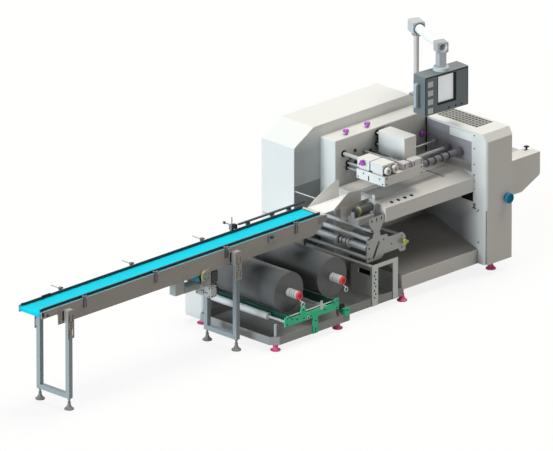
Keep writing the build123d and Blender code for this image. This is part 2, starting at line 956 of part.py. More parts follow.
def axle(x, z, radius, ends, roller):
    """Fixed shaft between its two seats, with a collar at each end of the roller that turns on it."""
    shaft = rod_y(radius, x, ends, z)
    collar = radius + roller_collar_radius - roller_axle_radius
    front, back = roller
    shaft += rod_y(collar, x, (front - roller_collar_thickness, front), z)
    return shaft + rod_y(collar, x, (back, back + roller_collar_thickness), z)


def idler_roller(x, z, radius, bore, roller):
    """Tube that turns on its fixed shaft."""
    y = (roller[0] + end_gap, roller[1] - end_gap)
    return rod_y(radius, x, y, z) - rod_y(bore + journal_gap, x, y, z)


def film_roller_ends():
    """Both ends of the film rollers, a collar's thickness inside the two plates."""
    return (
        film_plate_y + film_plate_thickness + roller_collar_thickness,
        wall_plate_y - roller_collar_thickness,
    )


def sleeves(x, z):
    """Two raised rings on a film roller."""
    rings = []
    for middle in sleeve_y:
        y = (middle - sleeve_width / 2, middle + sleeve_width / 2)
        rings.append(rod_y(sleeve_radius, x, y, z) - rod_y(roller_axle_radius + journal_gap, x, y, z))
    return rings[0] + rings[1]


# Film plates and post frame

def film_plate():
    """Laser-cut front plate: slotted upstand, slanted slot for the roller adjustment and small holes."""
    face = rounded_outline(film_plate_outline, film_plate_round)
    (x0, z0), (x1, z1) = plate_slot_ends
    length = ((x1 - x0) ** 2 + (z1 - z0) ** 2) ** 0.5 + plate_slot_width
    slant = degrees(atan2(z1 - z0, x1 - x0))
    face -= Pos((x0 + x1) / 2, (z0 + z1) / 2) * Rot(0, 0, slant) * SlotOverall(length, plate_slot_width)
    for x, z in plate_holes:
        face -= round_at(x, z, plate_hole_radius)
    for x in upstand_slots:
        face -= Pos(x, upstand_slot_z) * Rot(0, 0, 90) * SlotOverall(*upstand_slot)
    return along_y(face, (film_plate_y, film_plate_y + film_plate_thickness))


def wall_plate():
    """Plate on the rear cover's face that carries the back ends of the film rollers."""
    face = area(wall_plate_x, wall_plate_z)
    face = fillet(face.vertices(), wall_plate_round)
    return along_y(face, (wall_plate_y, cover_y[0]))


def tie_bar(x, z):
    return rod_y(tie_bar_radius, x, (film_plate_y + film_plate_thickness, inner_front), z)


def carrier_tube():
    """Fixed tube from the post frame to the wall plate."""
    x, z = carrier_tube_at
    return rod_y(carrier_tube_radius, x, (tray_step_front, wall_plate_y), z)


def post_frame():
    """Perforated post frame on the front lip of the tray, with a windowed side return."""
    x0, x1 = post_frame_x
    z0, z1 = post_frame_z
    y = (tray_step_front - post_frame_thickness, tray_step_front)
    face = area(post_frame_x, post_frame_z)
    face -= area((x0 + post_width, x1 - right_post_width), (z0, z1 - post_bar_height))
    for i, z in enumerate(post_hole_z):
        face -= round_at(x0 + post_hole_inset[i % 2], z, post_hole_radius)
    frame = along_y(face, y)
    side = area((y[1], y[1] + post_return_length), post_return_z)
    side -= area((y[1] + return_window_y[0], y[1] + return_window_y[1]), return_window_z)
    return frame + along_x(side, (x0, x0 + post_frame_thickness))


# Forming box

def forming_box():
    """Folded guide from the conveyor to the table: mouth with two ears, floor, skirt and two raised wings."""
    half = forming_half_width
    sheet = forming_thickness
    box = block(forming_x, (-half, half), (table_top, table_top + sheet))
    wings = ((front_wing_outline, (-half - sheet, -half)), (back_wing_outline, (half, half + sheet)))
    for points, y in wings:
        wing = outline(*[(x, table_top + rise) for x, rise in points])
        box += along_y(wing, y)
    box += block(forming_skirt_x, (-half - sheet, -half), (table_top - forming_skirt_drop, table_top + sheet))
    wide = plate_outer + sheet
    mouth_x = (plate_end + mouth_gap, forming_x[0])
    box += block(mouth_x, (-wide, wide), (table_top, table_top + sheet))
    ear_z = (table_top - ear_drop, table_top + sheet)
    ear = block((plate_end - ear_length, mouth_x[1]), (plate_outer, wide), ear_z)
    return box + ear + mirrored(ear)


def steady_rod():
    """Thin rod from the back wing to the rear cover."""
    y = (forming_half_width + forming_thickness, cover_y[0])
    return rod_y(steady_rod_radius, steady_rod_x, y, table_top + steady_rod_radius)


def film_drive():
    """Drive box on the back of the film plate's upstand, with its motor on a saddle."""
    y = (film_plate_y + film_plate_thickness, film_drive_back)
    drive = block(film_drive_x, y, film_drive_z)
    motor_z = film_drive_z[1] + film_motor_saddle + film_motor_radius
    saddle_y = (film_motor_y - film_motor_radius / 2, film_motor_y + film_motor_radius / 2)
    drive += block(film_drive_x, saddle_y, (film_drive_z[1], motor_z))
    motor = rod_x(film_motor_radius, film_motor_x, film_motor_y, motor_z)
    return drive + chamfer(motor.edges().group_by(Axis.X)[0], knob_round)


def end_strip():
    """Upright strip on the infeed end of the table."""
    thickness, width, rise = end_post
    y = (end_post_y, end_post_y + width)
    return block((table_x - thickness, table_x), y, (table_top - end_post_drop, table_top + rise))


# Housings

def plinth():
    """Base under the sealing bay with a floor that climbs to the back wall."""
    face = outline(
        (plinth_front, body_bottom),
        (plinth_front, plinth_top),
        (plinth_slope_end, plinth_top + plinth_rise),
        (inner_front, plinth_top + plinth_rise),
        (inner_front, body_bottom),
    )
    return along_x(face, (tray_end, cabinet_x[0]))


def sealing_table():
    """Table top with a sloped front, four round holes in the slope and two slots for the film."""
    face = outline(
        (table_front, table_bottom),
        (table_front, table_edge_z),
        (table_slope_end, table_top),
        (inner_front, table_top),
        (inner_front, table_bottom),
    )
    table = along_x(face, (table_x, cabinet_x[0]))
    rise = (table_top - table_edge_z) / (table_slope_end - table_front)
    hole_y = table_front + table_hole_inset
    hole_z = table_edge_z + rise * table_hole_inset
    slope = degrees(atan2(rise, 1))
    for x in table_holes:
        hole = Cylinder(table_hole_radius, 2 * table_hole_depth)
        table -= Pos(x, hole_y, hole_z) * Rot(slope, 0, 0) * hole
    for y in table_slot_y:
        slot_y = (y - table_slot_width / 2, y + table_slot_width / 2)
        table -= block(table_slot_x, slot_y, (table_top - table_slot_depth, table_top))
    return table


def inner_housing():
    """Housing behind the table, its three edges that meet at the near top corner rounded."""
    body = block((inner_x, cabinet_x[0]), (inner_front, cover_y[0]), (body_bottom, inner_top))
    corner = (inner_x, inner_front, inner_top)
    return fillet([edge_near(body, axis, corner) for axis in (Axis.X, Axis.Y, Axis.Z)], inner_round)


def rear_cover():
    """Tall housing over the whole back, its top corners cut and its bends rounded."""
    x0, x1 = cover_x
    cut_x, cut_z = cover_chamfer
    face = outline(
        (x0, body_bottom),
        (x0, cover_top - cut_z),
        (x0 + cut_x, cover_top),
        (x1 - cut_x, cover_top),
        (x1, cover_top - cut_z),
        (x1, body_bottom),
    )
    bends = face.vertices().filter_by(lambda corner: corner.Y > body_bottom + cut_z)
    return along_y(fillet(bends, cover_round), cover_y)


def cabinet_plan():
    """Outline of the end cabinet from above, its front corners rounded."""
    face = area(cabinet_x, (cabinet_front, cover_y[0]))
    face = fillet(corner_of(face, cabinet_x[0], cabinet_front), cabinet_round)
    return fillet(corner_of(face, cabinet_x[1], cabinet_front), cabinet_far_round)


def cabinet_base():
    return along_z(cabinet_plan(), (body_bottom, cabinet_seam))


def cabinet_hood():
    """Upper housing with a chamfered front, the product tunnel and a vent over it."""
    cut_y, cut_z = cabinet_chamfer
    hood = along_z(cabinet_plan(), (cabinet_seam, cabinet_top))
    wedge = outline(
        (cabinet_front, cabinet_top - cut_z),
        (cabinet_front + cut_y, cabinet_top),
        (cabinet_front, cabinet_top),
    )
    hood -= along_x(wedge, cabinet_x)
    hood -= block(cabinet_x, tunnel_y, (table_top, tunnel_top))
    hood -= block(grille_x, grille_y, (cabinet_top - grille_thickness, cabinet_top))
    vent_x = (grille_x[0] + grille_ledge, grille_x[1] - grille_ledge)
    vent_y = (grille_y[0] + grille_ledge, grille_y[1] - grille_ledge)
    hood -= block(vent_x, vent_y, (tunnel_top, cabinet_top))
    x, z = handwheel_at
    bore = (cabinet_front, cabinet_front + handwheel_bore_depth)
    return hood - rod_y(handwheel_shaft_radius + journal_gap, x, bore, z)


def cabinet_grille():
    """Vent sheet flush with the hood's top, with evenly spaced round holes."""
    sheet = block(grille_x, grille_y, (cabinet_top - grille_thickness, cabinet_top))
    columns, rows = grille_hole_rows
    pitch_x = (grille_x[1] - grille_x[0]) / columns
    pitch_y = (grille_y[1] - grille_y[0]) / rows
    for i in range(columns):
        for j in range(rows):
            x = grille_x[0] + pitch_x * (i + 0.5)
            y = grille_y[0] + pitch_y * (j + 0.5)
            sheet -= rod_z(grille_hole_radius, x, y, (cabinet_top - grille_thickness, cabinet_top))
    return sheet


def tunnel_guard():
    """Tinted guard in the upper part of the tunnel mouth."""
    x = (cabinet_x[0] + guard_recess, cabinet_x[0] + guard_recess + guard_thickness)
    return block(x, tunnel_y, (guard_bottom, tunnel_top))


def handwheel():
    """Dished hand wheel with its shaft in the cabinet's front."""
    x, z = handwheel_at
    face = cabinet_front - end_gap
    rim = (face - handwheel_stem - handwheel_width, face - handwheel_stem)
    wheel = rod_y(handwheel_radius, x, rim, z)
    wheel = fillet(wheel.edges(), handwheel_round)
    dish_radius, dish_depth = handwheel_dish
    wheel -= rod_y(dish_radius, x, (rim[0], rim[0] + dish_depth), z)
    wheel += rod_y(handwheel_shaft_radius * 2, x, (rim[1], face), z)
    tip = cabinet_front + handwheel_bore_depth - end_gap
    return wheel + rod_y(handwheel_shaft_radius, x, (face, tip), z)


def knob():
    """Lobed clamping knob standing on its stem at the origin, along +Z."""
    head = Circle(knob_radius - knob_lobe_radius / 2)
    for place in PolarLocations(knob_radius - knob_lobe_radius / 2, knob_lobes):
        head += place * Circle(knob_lobe_radius)
    head = along_z(head, (knob_stem, knob_stem + knob_height))
    head = fillet(head.faces().sort_by(Axis.Z)[-1].edges(), knob_round)
    return Cylinder(knob_stem_radius, knob_stem, align=bar_align) + head


def clamp_knobs():
    knobs = [Pos(x, top_knob_y, inner_top) * knob() for x in top_knob_x]
    knobs.append(Pos(front_knob_at[0], inner_front, front_knob_at[1]) * Rot(90, 0, 0) * knob())
    knobs.append(Pos(box_x[0], box_knob_at[0], box_knob_at[1]) * Rot(0, -90, 0) * knob())
    knobs.append(Pos(plate_knob_at[0], film_plate_y, plate_knob_at[1]) * Rot(90, 0, 0) * knob())
    return knobs


# Discharge conveyor

def discharge_side(y, top):
    """Side of the discharge frame with its lower corner cut away and rounded."""
    cut_x, cut_z = discharge_cut
    x0 = cabinet_x[1]
    low_corner = (discharge_end - cut_x, discharge_bottom)
    far_corner = (discharge_end, discharge_bottom + cut_z)
    face = outline((x0, discharge_bottom), low_corner, far_corner, (discharge_end, top), (x0, top))
    for corner in (low_corner, far_corner):
        face = fillet(corner_of(face, *corner), discharge_round)
    return along_y(face, y)


def discharge_frame():
    """Front side box with a raised strip, and a plain side plate at the back."""
    strip = discharge_front + discharge_strip
    inner = -discharge_belt_half - discharge_play
    front = discharge_side((discharge_front, strip), discharge_top)
    front += discharge_side((strip, inner), discharge_top - discharge_recess)
    back = discharge_side((discharge_belt_half + discharge_play, discharge_back), discharge_top)
    return front, back


def discharge_roller_x():
    reach = discharge_roller_radius + belt_thickness
    return cabinet_x[1] + discharge_play + reach, discharge_end - discharge_play - reach


def discharge_belt():
    outer = discharge_roller_radius + belt_thickness
    z = discharge_belt_top - outer
    first, last = discharge_roller_x()
    big = make_hull((round_at(first, z, outer) + round_at(last, z, outer)).edges())
    small = make_hull((round_at(first, z, discharge_roller_radius)
                       + round_at(last, z, discharge_roller_radius)).edges())
    return along_y(big - small, (-discharge_belt_half, discharge_belt_half))


def discharge_roller(x):
    z = discharge_belt_top - discharge_roller_radius - belt_thickness
    half = discharge_belt_half
    end = half + discharge_play
    roller = rod_y(discharge_roller_radius - end_gap, x, (-half, half), z)
    return roller + rod_y(roller_shaft_radius, x, (-end, end), z)


# Sealing unit

def unit_housing():
    """Drive housing carried off the back wall on four rods."""
    return block(unit_x, unit_y, unit_z)


def unit_rods():
    """The housing's four rods and the rod of the back box, all to the back wall."""
    rods = [
        rod_y(unit_rod_radius, x, (unit_y[1], inner_front), z)
        for x in unit_rod_x
        for z in unit_rod_z
    ]
    offset_x, z = box_rod_at
    rods.append(rod_y(box_rod_radius, unit_x[0] + offset_x, (box_back_y[1], inner_front), z))
    return rods


def unit_box(y):
    """Box on a narrower base, so that a shadow line runs round its foot."""
    x0, x1 = box_x
    box = block(box_x, y, box_z)
    box = fillet(box.edges().filter_by(Axis.Z), box_round)
    base_x = (x0 + box_inset, x1 - box_inset)
    base_y = (y[0] + box_inset, y[1] - box_inset)
    return box + block(base_x, base_y, (unit_z[1], box_z[0]))


def drum_face(x):
    """Round drum on the front of the box, with a sunk hub."""
    front = box_front_y[0] - drum_face_length
    drum = rod_y(drum_face_radius, x, (front, box_front_y[0]), drum_face_z)
    drum = chamfer(drum.edges().group_by(Axis.Y)[0], box_round)
    return drum - rod_y(drum_hub_radius, x, (front, front + drum_hub_depth), drum_face_z)


def cover_box():
    """Tall box on the right of the unit, held off the back wall by rods, with a block for the thin shaft."""
    box = block(cover_box_x, cover_box_y, (unit_z[1], cover_box_top))
    box = fillet(box.edges().filter_by(Axis.Z), cover_box_round)
    for x, z in cover_box_rods:
        box += rod_y(cover_rod_radius, x, (cover_box_y[1], inner_front), z)
    length, width, height = thin_shaft_block
    thin_y = long_shafts[-1][0]
    return box + block(
        (cover_box_x[1] - cover_box_round - length, cover_box_x[1] - cover_box_round),
        (thin_y - width / 2, thin_y + width / 2),
        (unit_z[1] - height, unit_z[1]),
    )


def long_shaft(y, z, radius, start):
    """Shaft to the cabinet's guard, with a collar a little before the guard."""
    end = cabinet_x[0] + guard_recess
    collar = (end - shaft_collar_back - shaft_collar_length, end - shaft_collar_back)
    return rod_x(radius, (start, end), y, z) + rod_x(radius + shaft_collar_rise, collar, y, z)


def clamp_block(x):
    body = block(x, clamp_block_y, (unit_z[1], unit_z[1] + clamp_block_height))
    return chamfer(body.edges().filter_by(Axis.Y).group_by(Axis.Z)[-1], clamp_block_bevel)


def hooked_rod():
    """Rod that lies on the table, its front end bent up."""
    z = table_top + hook_radius
    rod = rod_y(hook_radius, hook_x, (hook_y[1], hook_y[0]), z)
    rod += Pos(hook_x, hook_y[1], z) * Sphere(hook_radius)
    return rod + rod_z(hook_radius, hook_x, hook_y[1], (z, z + hook_rise))


# Operator panel

def turned(part, at, angle):
    return Pos(at[0], at[1], 0) * Rot(0, 0, angle) * part


def pole():
    """Pole from a foot on the rear cover's shoulder to the elbow."""
    x, y = pole_at
    length, width = pole_foot
    foot_x = (x - length / 2, x + length / 2)
    foot_y = (cover_y[0], cover_y[0] + width)
    base = block(foot_x, foot_y, (cover_top - cover_chamfer[1], pole_foot_top)) - rear_cover()
    collar_bottom = arm_z - elbow_size[2] / 2 - collar_height
    tube = rod_z(pole_radius, x, y, (pole_foot_top, collar_bottom))
    collar = rod_z(collar_radius, x, y, (collar_bottom, collar_bottom + collar_height))
    return base + tube + collar


def bored_block(size, rounding):
    """Block with rounded edges along the arm and a through bore that the arm sits in."""
    length, width, height = size
    body = Pos(0, 0, arm_z) * Box(length, width, height)
    body = fillet(body.edges().filter_by(Axis.X), rounding)
    return body - Pos(0, 0, arm_z) * Rot(0, 90, 0) * Cylinder(arm_radius + seat_gap, length)


def elbow():
    return turned(bored_block(elbow_size, elbow_round), pole_at, arm_turn)


def arm():
    """Round tube through the elbow and the hood of the coupling."""
    dx = panel_at[0] - pole_at[0]
    dy = panel_at[1] - pole_at[1]
    reach = (dx * dx + dy * dy) ** 0.5
    start = -elbow_size[0] / 2
    length = reach + hood_size[0] / 2 - start
    tube = Cylinder(arm_radius, length, align=bar_align)
    tube -= Cylinder(arm_radius - arm_wall, length, align=bar_align)
    return turned(Pos(start, 0, arm_z) * Rot(0, 90, 0) * tube, pole_at, arm_turn)


def coupling():
    """Hood on the arm, square neck and the spigot that the panel turns on."""
    neck = Pos(0, 0, neck_bottom) * Box(*coupling_size, coupling_neck, align=bar_align)
    spigot = Pos(0, 0, neck_bottom - spigot_length) * Cylinder(spigot_radius, spigot_length, align=bar_align)
    return turned(bored_block(hood_size, hood_round) + neck + spigot, panel_at, arm_turn)


def panel_part(part):
    """Place a part drawn round the middle of the panel's case."""
    return turned(Pos(0, 0, panel_bottom + panel_size[2] / 2) * part, panel_at, panel_turn)


def panel_case():
    """Panel housing with a deep screen recess and the turning ring on its top."""
    width, depth, height = panel_size
    screen_w, screen_h = screen_size
    dx, dz = screen_at
    case = Box(width, depth, height)
    case = fillet(case.edges().filter_by(Axis.Z), panel_edge)
    case -= Pos(-dx, -depth / 2 + screen_recess / 2, dz) * Box(screen_w, screen_recess, screen_h)
    ring = Pos(0, 0, height / 2) * Cylinder(ring_radius, ring_height, align=bar_align)
    ring = chamfer(ring.edges().group_by(Axis.Z)[-1], ring_bevel)
    seat_bottom = height / 2 + ring_height - spigot_length
    seat = Pos(0, 0, seat_bottom) * Cylinder(spigot_radius + journal_gap, spigot_length, align=bar_align)
    return panel_part(case + ring - seat)


def panel_screen():
    """Pane on the back wall of the recess."""
    screen_w, screen_h = screen_size
    dx, dz = screen_at
    y = -panel_size[1] / 2 + screen_recess - screen_thickness / 2
    return panel_part(Pos(-dx, y, dz) * Box(screen_w, screen_thickness, screen_h))


def panel_button(row):
    """Square button on the panel's face, left of the screen."""
    width, height = button_size
    x = -panel_size[0] / 2 + button_inset
    y = -panel_size[1] / 2 - button_rise / 2
    return panel_part(Pos(x, y, button_start - row * button_pitch) * Box(width, button_rise, height))


def panel_handle(side):
    """Flat bow handle on one end of the panel."""
    half = handle_span / 2
    face = side * panel_size[0] / 2
    path = FilletPolyline(
        (face, 0, -half),
        (face + side * handle_reach, 0, -half),
        (face + side * handle_reach, 0, half),
        (face, 0, half),
        radius=handle_bend,
    )
    thickness, depth = handle_section
    seat = Plane(origin=(face, 0, -half), x_dir=(0, 1, 0), z_dir=(side, 0, 0))
    section = seat * Rectangle(depth, thickness)
    return panel_part(sweep(section, path))


os.makedirs("parts", exist_ok=True)

plate = side_plate()
save("conveyor_side_plates", plate, mirrored(plate))
save("conveyor_belt", conveyor_belt())
save("slider_bed", slider_bed())
save(
    "belt_rollers",
    *[belt_roller(x, z, nose_roller_radius, plate_outer) for x, z in plate_rollers()],
    belt_roller(drum_x, drum_z, drum_radius, plate_outer + cheek_thickness),
    *[discharge_roller(x) for x in discharge_roller_x()],
)
save("guide_rails", guide_rail(-1), guide_rail(1), back_guide())
save(
    "rail_brackets",
    *[rail_bracket(x) for x in stations],
    *[mirrored(rail_bracket(x)) for x in stations],
    *[rail_bracket(x, bored=False) for x in back_guide_posts],
    sensor_mount(),
)
save(
    "rail_rods",
    *[mirrored(rail_rod(x, front_rod_reach)) for x in stations],
    *[rail_rod(x, back_rod_reach) for x in stations],
)
save("belt_tensioner", belt_tensioner())

save("leg_frames", *[leg_frame(x) for x in leg_frame_x])
save("leg_brackets", *[part for x in leg_frame_x for part in (leg_bracket(x), mirrored(leg_bracket(x)))])
save("conveyor_feet", *[conveyor_foot(x, side * leg_centre_y) for x in leg_frame_x for side in (-1, 1)])
save("drive_bracket", drive_bracket())
save("drive_gearmotor", gearmotor(), chain_case(), drum_bearing(), mirrored(drum_bearing()))

save("base_tray", base_tray())
save(
    "levelling_feet",
    *[foot(x, y, tray_bottom, machine_foot_radius, front_stem_radius, stud_top) for x, y in front_feet],
    *[foot(x, y, tray_bottom, machine_foot_radius, back_stem_radius) for x, y in back_feet],
    *[foot(x, y, body_bottom, machine_foot_radius, back_stem_radius) for x, y in body_feet],
)
save("unwind_housing", unwind_housing())
for i, x in enumerate(reel_x, 1):
    save(f"film_roll_{i}", film_roll(x))
    save(f"mandrel_{i}", mandrel(x))
save("mandrel_bearings", *[mandrel_bearing(x) for x in reel_x])
save("splice_frame", splice_frame(), end_bracket())
save("splice_rods", splice_rod(), splice_bar(), splice_tab())

x, z = low_roller_at
low_ends = (low_roller_front, tray_back - roller_collar_thickness)
save("low_roller", idler_roller(x, z, low_roller_radius, low_shaft_radius, low_ends))
shafts = [axle(x, z, low_shaft_radius, (tray_front, tray_back), low_ends)]
for i, (x, z, radius) in enumerate(film_rollers):
    roller = idler_roller(x, z, radius, roller_axle_radius, film_roller_ends())
    if i == sleeve_roller:
        roller += sleeves(x, z)
    save(f"film_roller_{i + 1}", roller)
    seats = (film_plate_y + film_plate_thickness, wall_plate_y)
    shafts.append(axle(x, z, roller_axle_radius, seats, film_roller_ends()))
save("roller_shafts", *shafts, *[tie_bar(x, z) for x, z in tie_bars], carrier_tube())
save("film_plate_front", film_plate())
save("film_plate_back", wall_plate())
save("post_frame", post_frame())

save("forming_box", forming_box(), steady_rod())
save("film_drive_box", film_drive())

save("plinth", plinth())
save("sealing_table", sealing_table(), end_strip())
save("inner_housing", inner_housing())
save("rear_cover", rear_cover())
save("cabinet_base", cabinet_base())
save("cabinet_hood", cabinet_hood())
save("cabinet_grille", cabinet_grille())
save("tunnel_guard", tunnel_guard())
save("handwheel", handwheel())
save("clamp_knobs", *clamp_knobs())

save("discharge_frame", *discharge_frame())
save("discharge_belt", discharge_belt())

save("seal_unit_housing", unit_housing())
shaft_starts = (unit_x[1], unit_x[1], cover_box_x[1] - cover_box_round)
save(
    "seal_unit_shafts",
    *unit_rods(),
    *[long_shaft(*shaft, start) for shaft, start in zip(long_shafts, shaft_starts)],
)
front_box = unit_box(box_front_y)
for offset_x in drum_offsets:
    front_box += drum_face(unit_x[0] + offset_x)
save("seal_unit_boxes", front_box, unit_box(box_back_y))
save("cover_box", cover_box())
save("clamp_blocks", *[clamp_block(x) for x in clamp_block_x])
save("hooked_rod", hooked_rod())

save("panel_pole", pole())
save("panel_elbow", elbow())
save("panel_arm", arm())
save("panel_coupling", coupling())
save("panel_case", panel_case())
save("panel_screen", panel_screen())
save("panel_buttons", *[panel_button(row) for row in range(button_count)])
save("panel_handles", panel_handle(-1), panel_handle(1))

print("origin in layout coordinates:", origin)
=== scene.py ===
import math

import bmesh
import bpy
from mathutils import Matrix, Vector


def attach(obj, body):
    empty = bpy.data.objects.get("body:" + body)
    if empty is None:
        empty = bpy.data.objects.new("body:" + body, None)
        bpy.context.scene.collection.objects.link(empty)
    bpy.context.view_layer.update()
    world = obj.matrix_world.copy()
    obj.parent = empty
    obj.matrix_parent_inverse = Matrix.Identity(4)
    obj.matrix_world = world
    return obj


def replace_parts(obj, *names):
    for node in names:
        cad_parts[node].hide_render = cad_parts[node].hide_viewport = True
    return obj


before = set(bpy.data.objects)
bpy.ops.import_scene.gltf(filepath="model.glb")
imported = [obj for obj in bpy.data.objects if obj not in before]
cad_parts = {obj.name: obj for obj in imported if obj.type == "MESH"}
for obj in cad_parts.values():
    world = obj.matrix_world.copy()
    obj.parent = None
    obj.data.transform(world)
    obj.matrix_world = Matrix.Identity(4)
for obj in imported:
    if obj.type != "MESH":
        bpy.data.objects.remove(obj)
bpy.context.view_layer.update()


# Camera
# The photograph is a near-parallel view from the front left, a little above the machine, so the lens
# is very long and stands far off.
view_azimuth = math.radians(-45.1)
view_elevation = math.radians(20.317)
view_width = 4.4366
view_centre = Vector((0.5577, 0.3325, 0.6001))
lens_mm = 1300

camera_data = bpy.data.cameras.new("camera")
camera_data.lens = lens_mm
camera_data.clip_start = 10
camera_data.clip_end = 1000
camera = bpy.data.objects.new("camera", camera_data)
bpy.context.scene.collection.objects.link(camera)
bpy.context.scene.camera = camera
ahead = Vector((
    -math.sin(view_azimuth) * math.cos(view_elevation),
    math.cos(view_azimuth) * math.cos(view_elevation),
    -math.sin(view_elevation),
))
distance = view_width * lens_mm / camera_data.sensor_width
camera.matrix_world = (
    Matrix.Translation(view_centre - ahead * distance)
    @ ahead.to_track_quat("-Z", "Y").to_matrix().to_4x4()
)
bpy.context.scene.view_settings.view_transform = "Standard"


# Studio
# A white floor and white surroundings, a cool broad light from the infeed side and a warm one from
# above. Front faces get only the soft surround light, as in the photograph.
backdrop_level = 1.0
surround_level = 0.26
floor_half = 400
floor_glow = 0.86


def linear(code):
    """Linear RGBA of an sRGB hex colour."""
    channels = [int(code[i:i + 2], 16) / 255 for i in (1, 3, 5)]
    return [c / 12.92 if c <= 0.04045 else ((c + 0.055) / 1.055) ** 2.4 for c in channels] + [1]


def add(tree, kind, inputs=None, **settings):
    """Add one shader node with its own settings; each input gets a value or a link."""
    node = tree.nodes.new(f"ShaderNode{kind}")
    for name, value in settings.items():
        setattr(node, name, value)
    for socket, value in (inputs or {}).items():
        if isinstance(value, bpy.types.NodeSocket):
            tree.links.new(value, node.inputs[socket])
        else:
            node.inputs[socket].default_value = value
    return node


def seen_directly(tree):
    """1 for rays that show the surroundings: straight to the camera, or by metal and glass."""
    path = add(tree, "LightPath").outputs
    seen = add(tree, "Math", {0: path["Is Camera Ray"], 1: path["Is Glossy Ray"]}, operation="MAXIMUM")
    seen = add(tree, "Math", {0: seen.outputs[0], 1: path["Is Transmission Ray"]}, operation="MAXIMUM")
    return seen.outputs[0]


world = bpy.data.worlds.new("studio")
world.use_nodes = True
bpy.context.scene.world = world
tree = world.node_tree
tree.nodes.clear()
soft = add(tree, "Background", {"Color": linear("#FFF6EE"), "Strength": surround_level})
white = add(tree, "Background", {"Color": linear("#FFFFFF"), "Strength": backdrop_level})
shown = add(tree, "MixShader", {0: seen_directly(tree), 1: soft.outputs[0], 2: white.outputs[0]})
add(tree, "OutputWorld", {"Surface": shown.outputs[0]})


def broad_light(name, towards, strength, colour, spread):
    """A distant lamp; towards points from the machine to the lamp."""
    data = bpy.data.lights.new(name, "SUN")
    data.energy = strength
    data.color = linear(colour)[:3]
    data.angle = math.radians(spread)
    lamp = bpy.data.objects.new(name, data)
    lamp.rotation_mode = "QUATERNION"
    lamp.rotation_quaternion = Vector(towards).to_track_quat("Z", "Y")
    bpy.context.scene.collection.objects.link(lamp)


broad_light("infeed_side_light", (-0.97, 0.05, 0.22), 2.5, "#E6F5FF", 28)
broad_light("overhead_light", (0.35, 0.0, 0.93), 2.05, "#FFFCF4", 40)

floor_mesh = bmesh.new()
bmesh.ops.create_grid(floor_mesh, x_segments=1, y_segments=1, size=floor_half)
floor_data = bpy.data.meshes.new("floor")
floor_mesh.to_mesh(floor_data)
floor_mesh.free()
floor = bpy.data.objects.new("floor", floor_data)
bpy.context.scene.collection.objects.link(floor)

floor_paint = bpy.data.materials.new("floor_paint")
floor_paint.use_nodes = True
tree = floor_paint.node_tree
tree.nodes.clear()
matt = add(tree, "BsdfDiffuse", {"Color": linear("#FFFFFF")})
dim = add(tree, "BsdfDiffuse", {"Color": linear("#8C8A86")})
glow = add(tree, "Emission", {"Color": linear("#FFFFFF"), "Strength": backdrop_level})
bright = add(tree, "MixShader", {0: floor_glow, 1: matt.outputs[0], 2: glow.outputs[0]})
shown = add(tree, "MixShader", {0: seen_directly(tree), 1: dim.outputs[0], 2: bright.outputs[0]})
add(tree, "OutputMaterial", {"Surface": shown.outputs[0]})
floor_data.materials.append(floor_paint)


# Conveyor side plates and legs
# Laser-cut sheet in warm grey and square tube in blue-grey. Powder coat is baked polyester: an even
# satin skin with a fine orange peel. Every finish gets painted shade deep in recesses, from occlusion.
drawing_origin = Vector((2415.5, 150.25, 0))
# Painted shade in recesses: how far occlusion reaches, where it is full and where it ends, and its colour.
recess_shade_reach_m = 0.45
recess_shade_full, recess_shade_none = 0.25, 0.6
recess_shade_colour = linear("#262C2E")
patches_per_metre = 3
peel_pitch_mm = 6


def at(x, y, z):
    """Metres from the middle of the floor under the machine, for a point of its drawing in millimetres."""
    return (Vector((x, y, z)) - drawing_origin) / 1000


def start_material(name, **shader):
    """A material with a Principled shader; returns it with its tree, shader and object coordinates."""
    made = bpy.data.materials.new(name)
    made.use_nodes = True
    tree = made.node_tree
    tree.nodes.clear()
    surface = add(tree, "BsdfPrincipled", {key.replace("_", " "): v for key, v in shader.items()})
    add(tree, "OutputMaterial", {"Surface": surface.outputs[0]})
    place = add(tree, "TexCoord").outputs["Object"]
    return made, tree, surface, place


def blend_colours(tree, share, first, second):
    """Mix two colours by a 0 to 1 share of the second."""
    mixed = add(tree, "Mix", {"Factor": share, "A": first, "B": second}, data_type="RGBA")
    return mixed.outputs["Result"]


def painted_recess_shade(tree, colour, kept):
    """Darken a colour with painted shade where the surface is occluded, down to the share kept in the deepest
    corner.
    """
    open_air = add(tree, "AmbientOcclusion", {"Distance": recess_shade_reach_m}, samples=12)
    share = add(
        tree,
        "MapRange",
        {"Value": open_air.outputs["AO"], "From Min": recess_shade_full, "From Max": recess_shade_none, "To Min": kept},
        interpolation_type="SMOOTHSTEP",
    )
    return blend_colours(tree, share.outputs[0], recess_shade_colour, colour)


def powder_coat(name, colour, worn, roughness=0.45, kept=0.05):
    """Baked paint whose tone drifts between a fresh and a worn colour."""
    made, tree, surface, place = start_material(name, Roughness=roughness, IOR=1.5)
    patches = add(tree, "TexNoise", {
        "Vector": place, "Scale": patches_per_metre, "Detail": 5.0, "Roughness": 0.6,
    })
    tone = blend_colours(tree, patches.outputs["Fac"], linear(colour), linear(worn))
    tree.links.new(painted_recess_shade(tree, tone, kept), surface.inputs["Base Color"])
    peel = add(tree, "TexNoise", {"Vector": place, "Scale": 1000 / peel_pitch_mm, "Detail": 2.0})
    skin = add(tree, "Bump", {"Height": peel.outputs["Fac"], "Strength": 0.06, "Distance": 0.001})
    tree.links.new(skin.outputs[0], surface.inputs["Normal"])
    return made


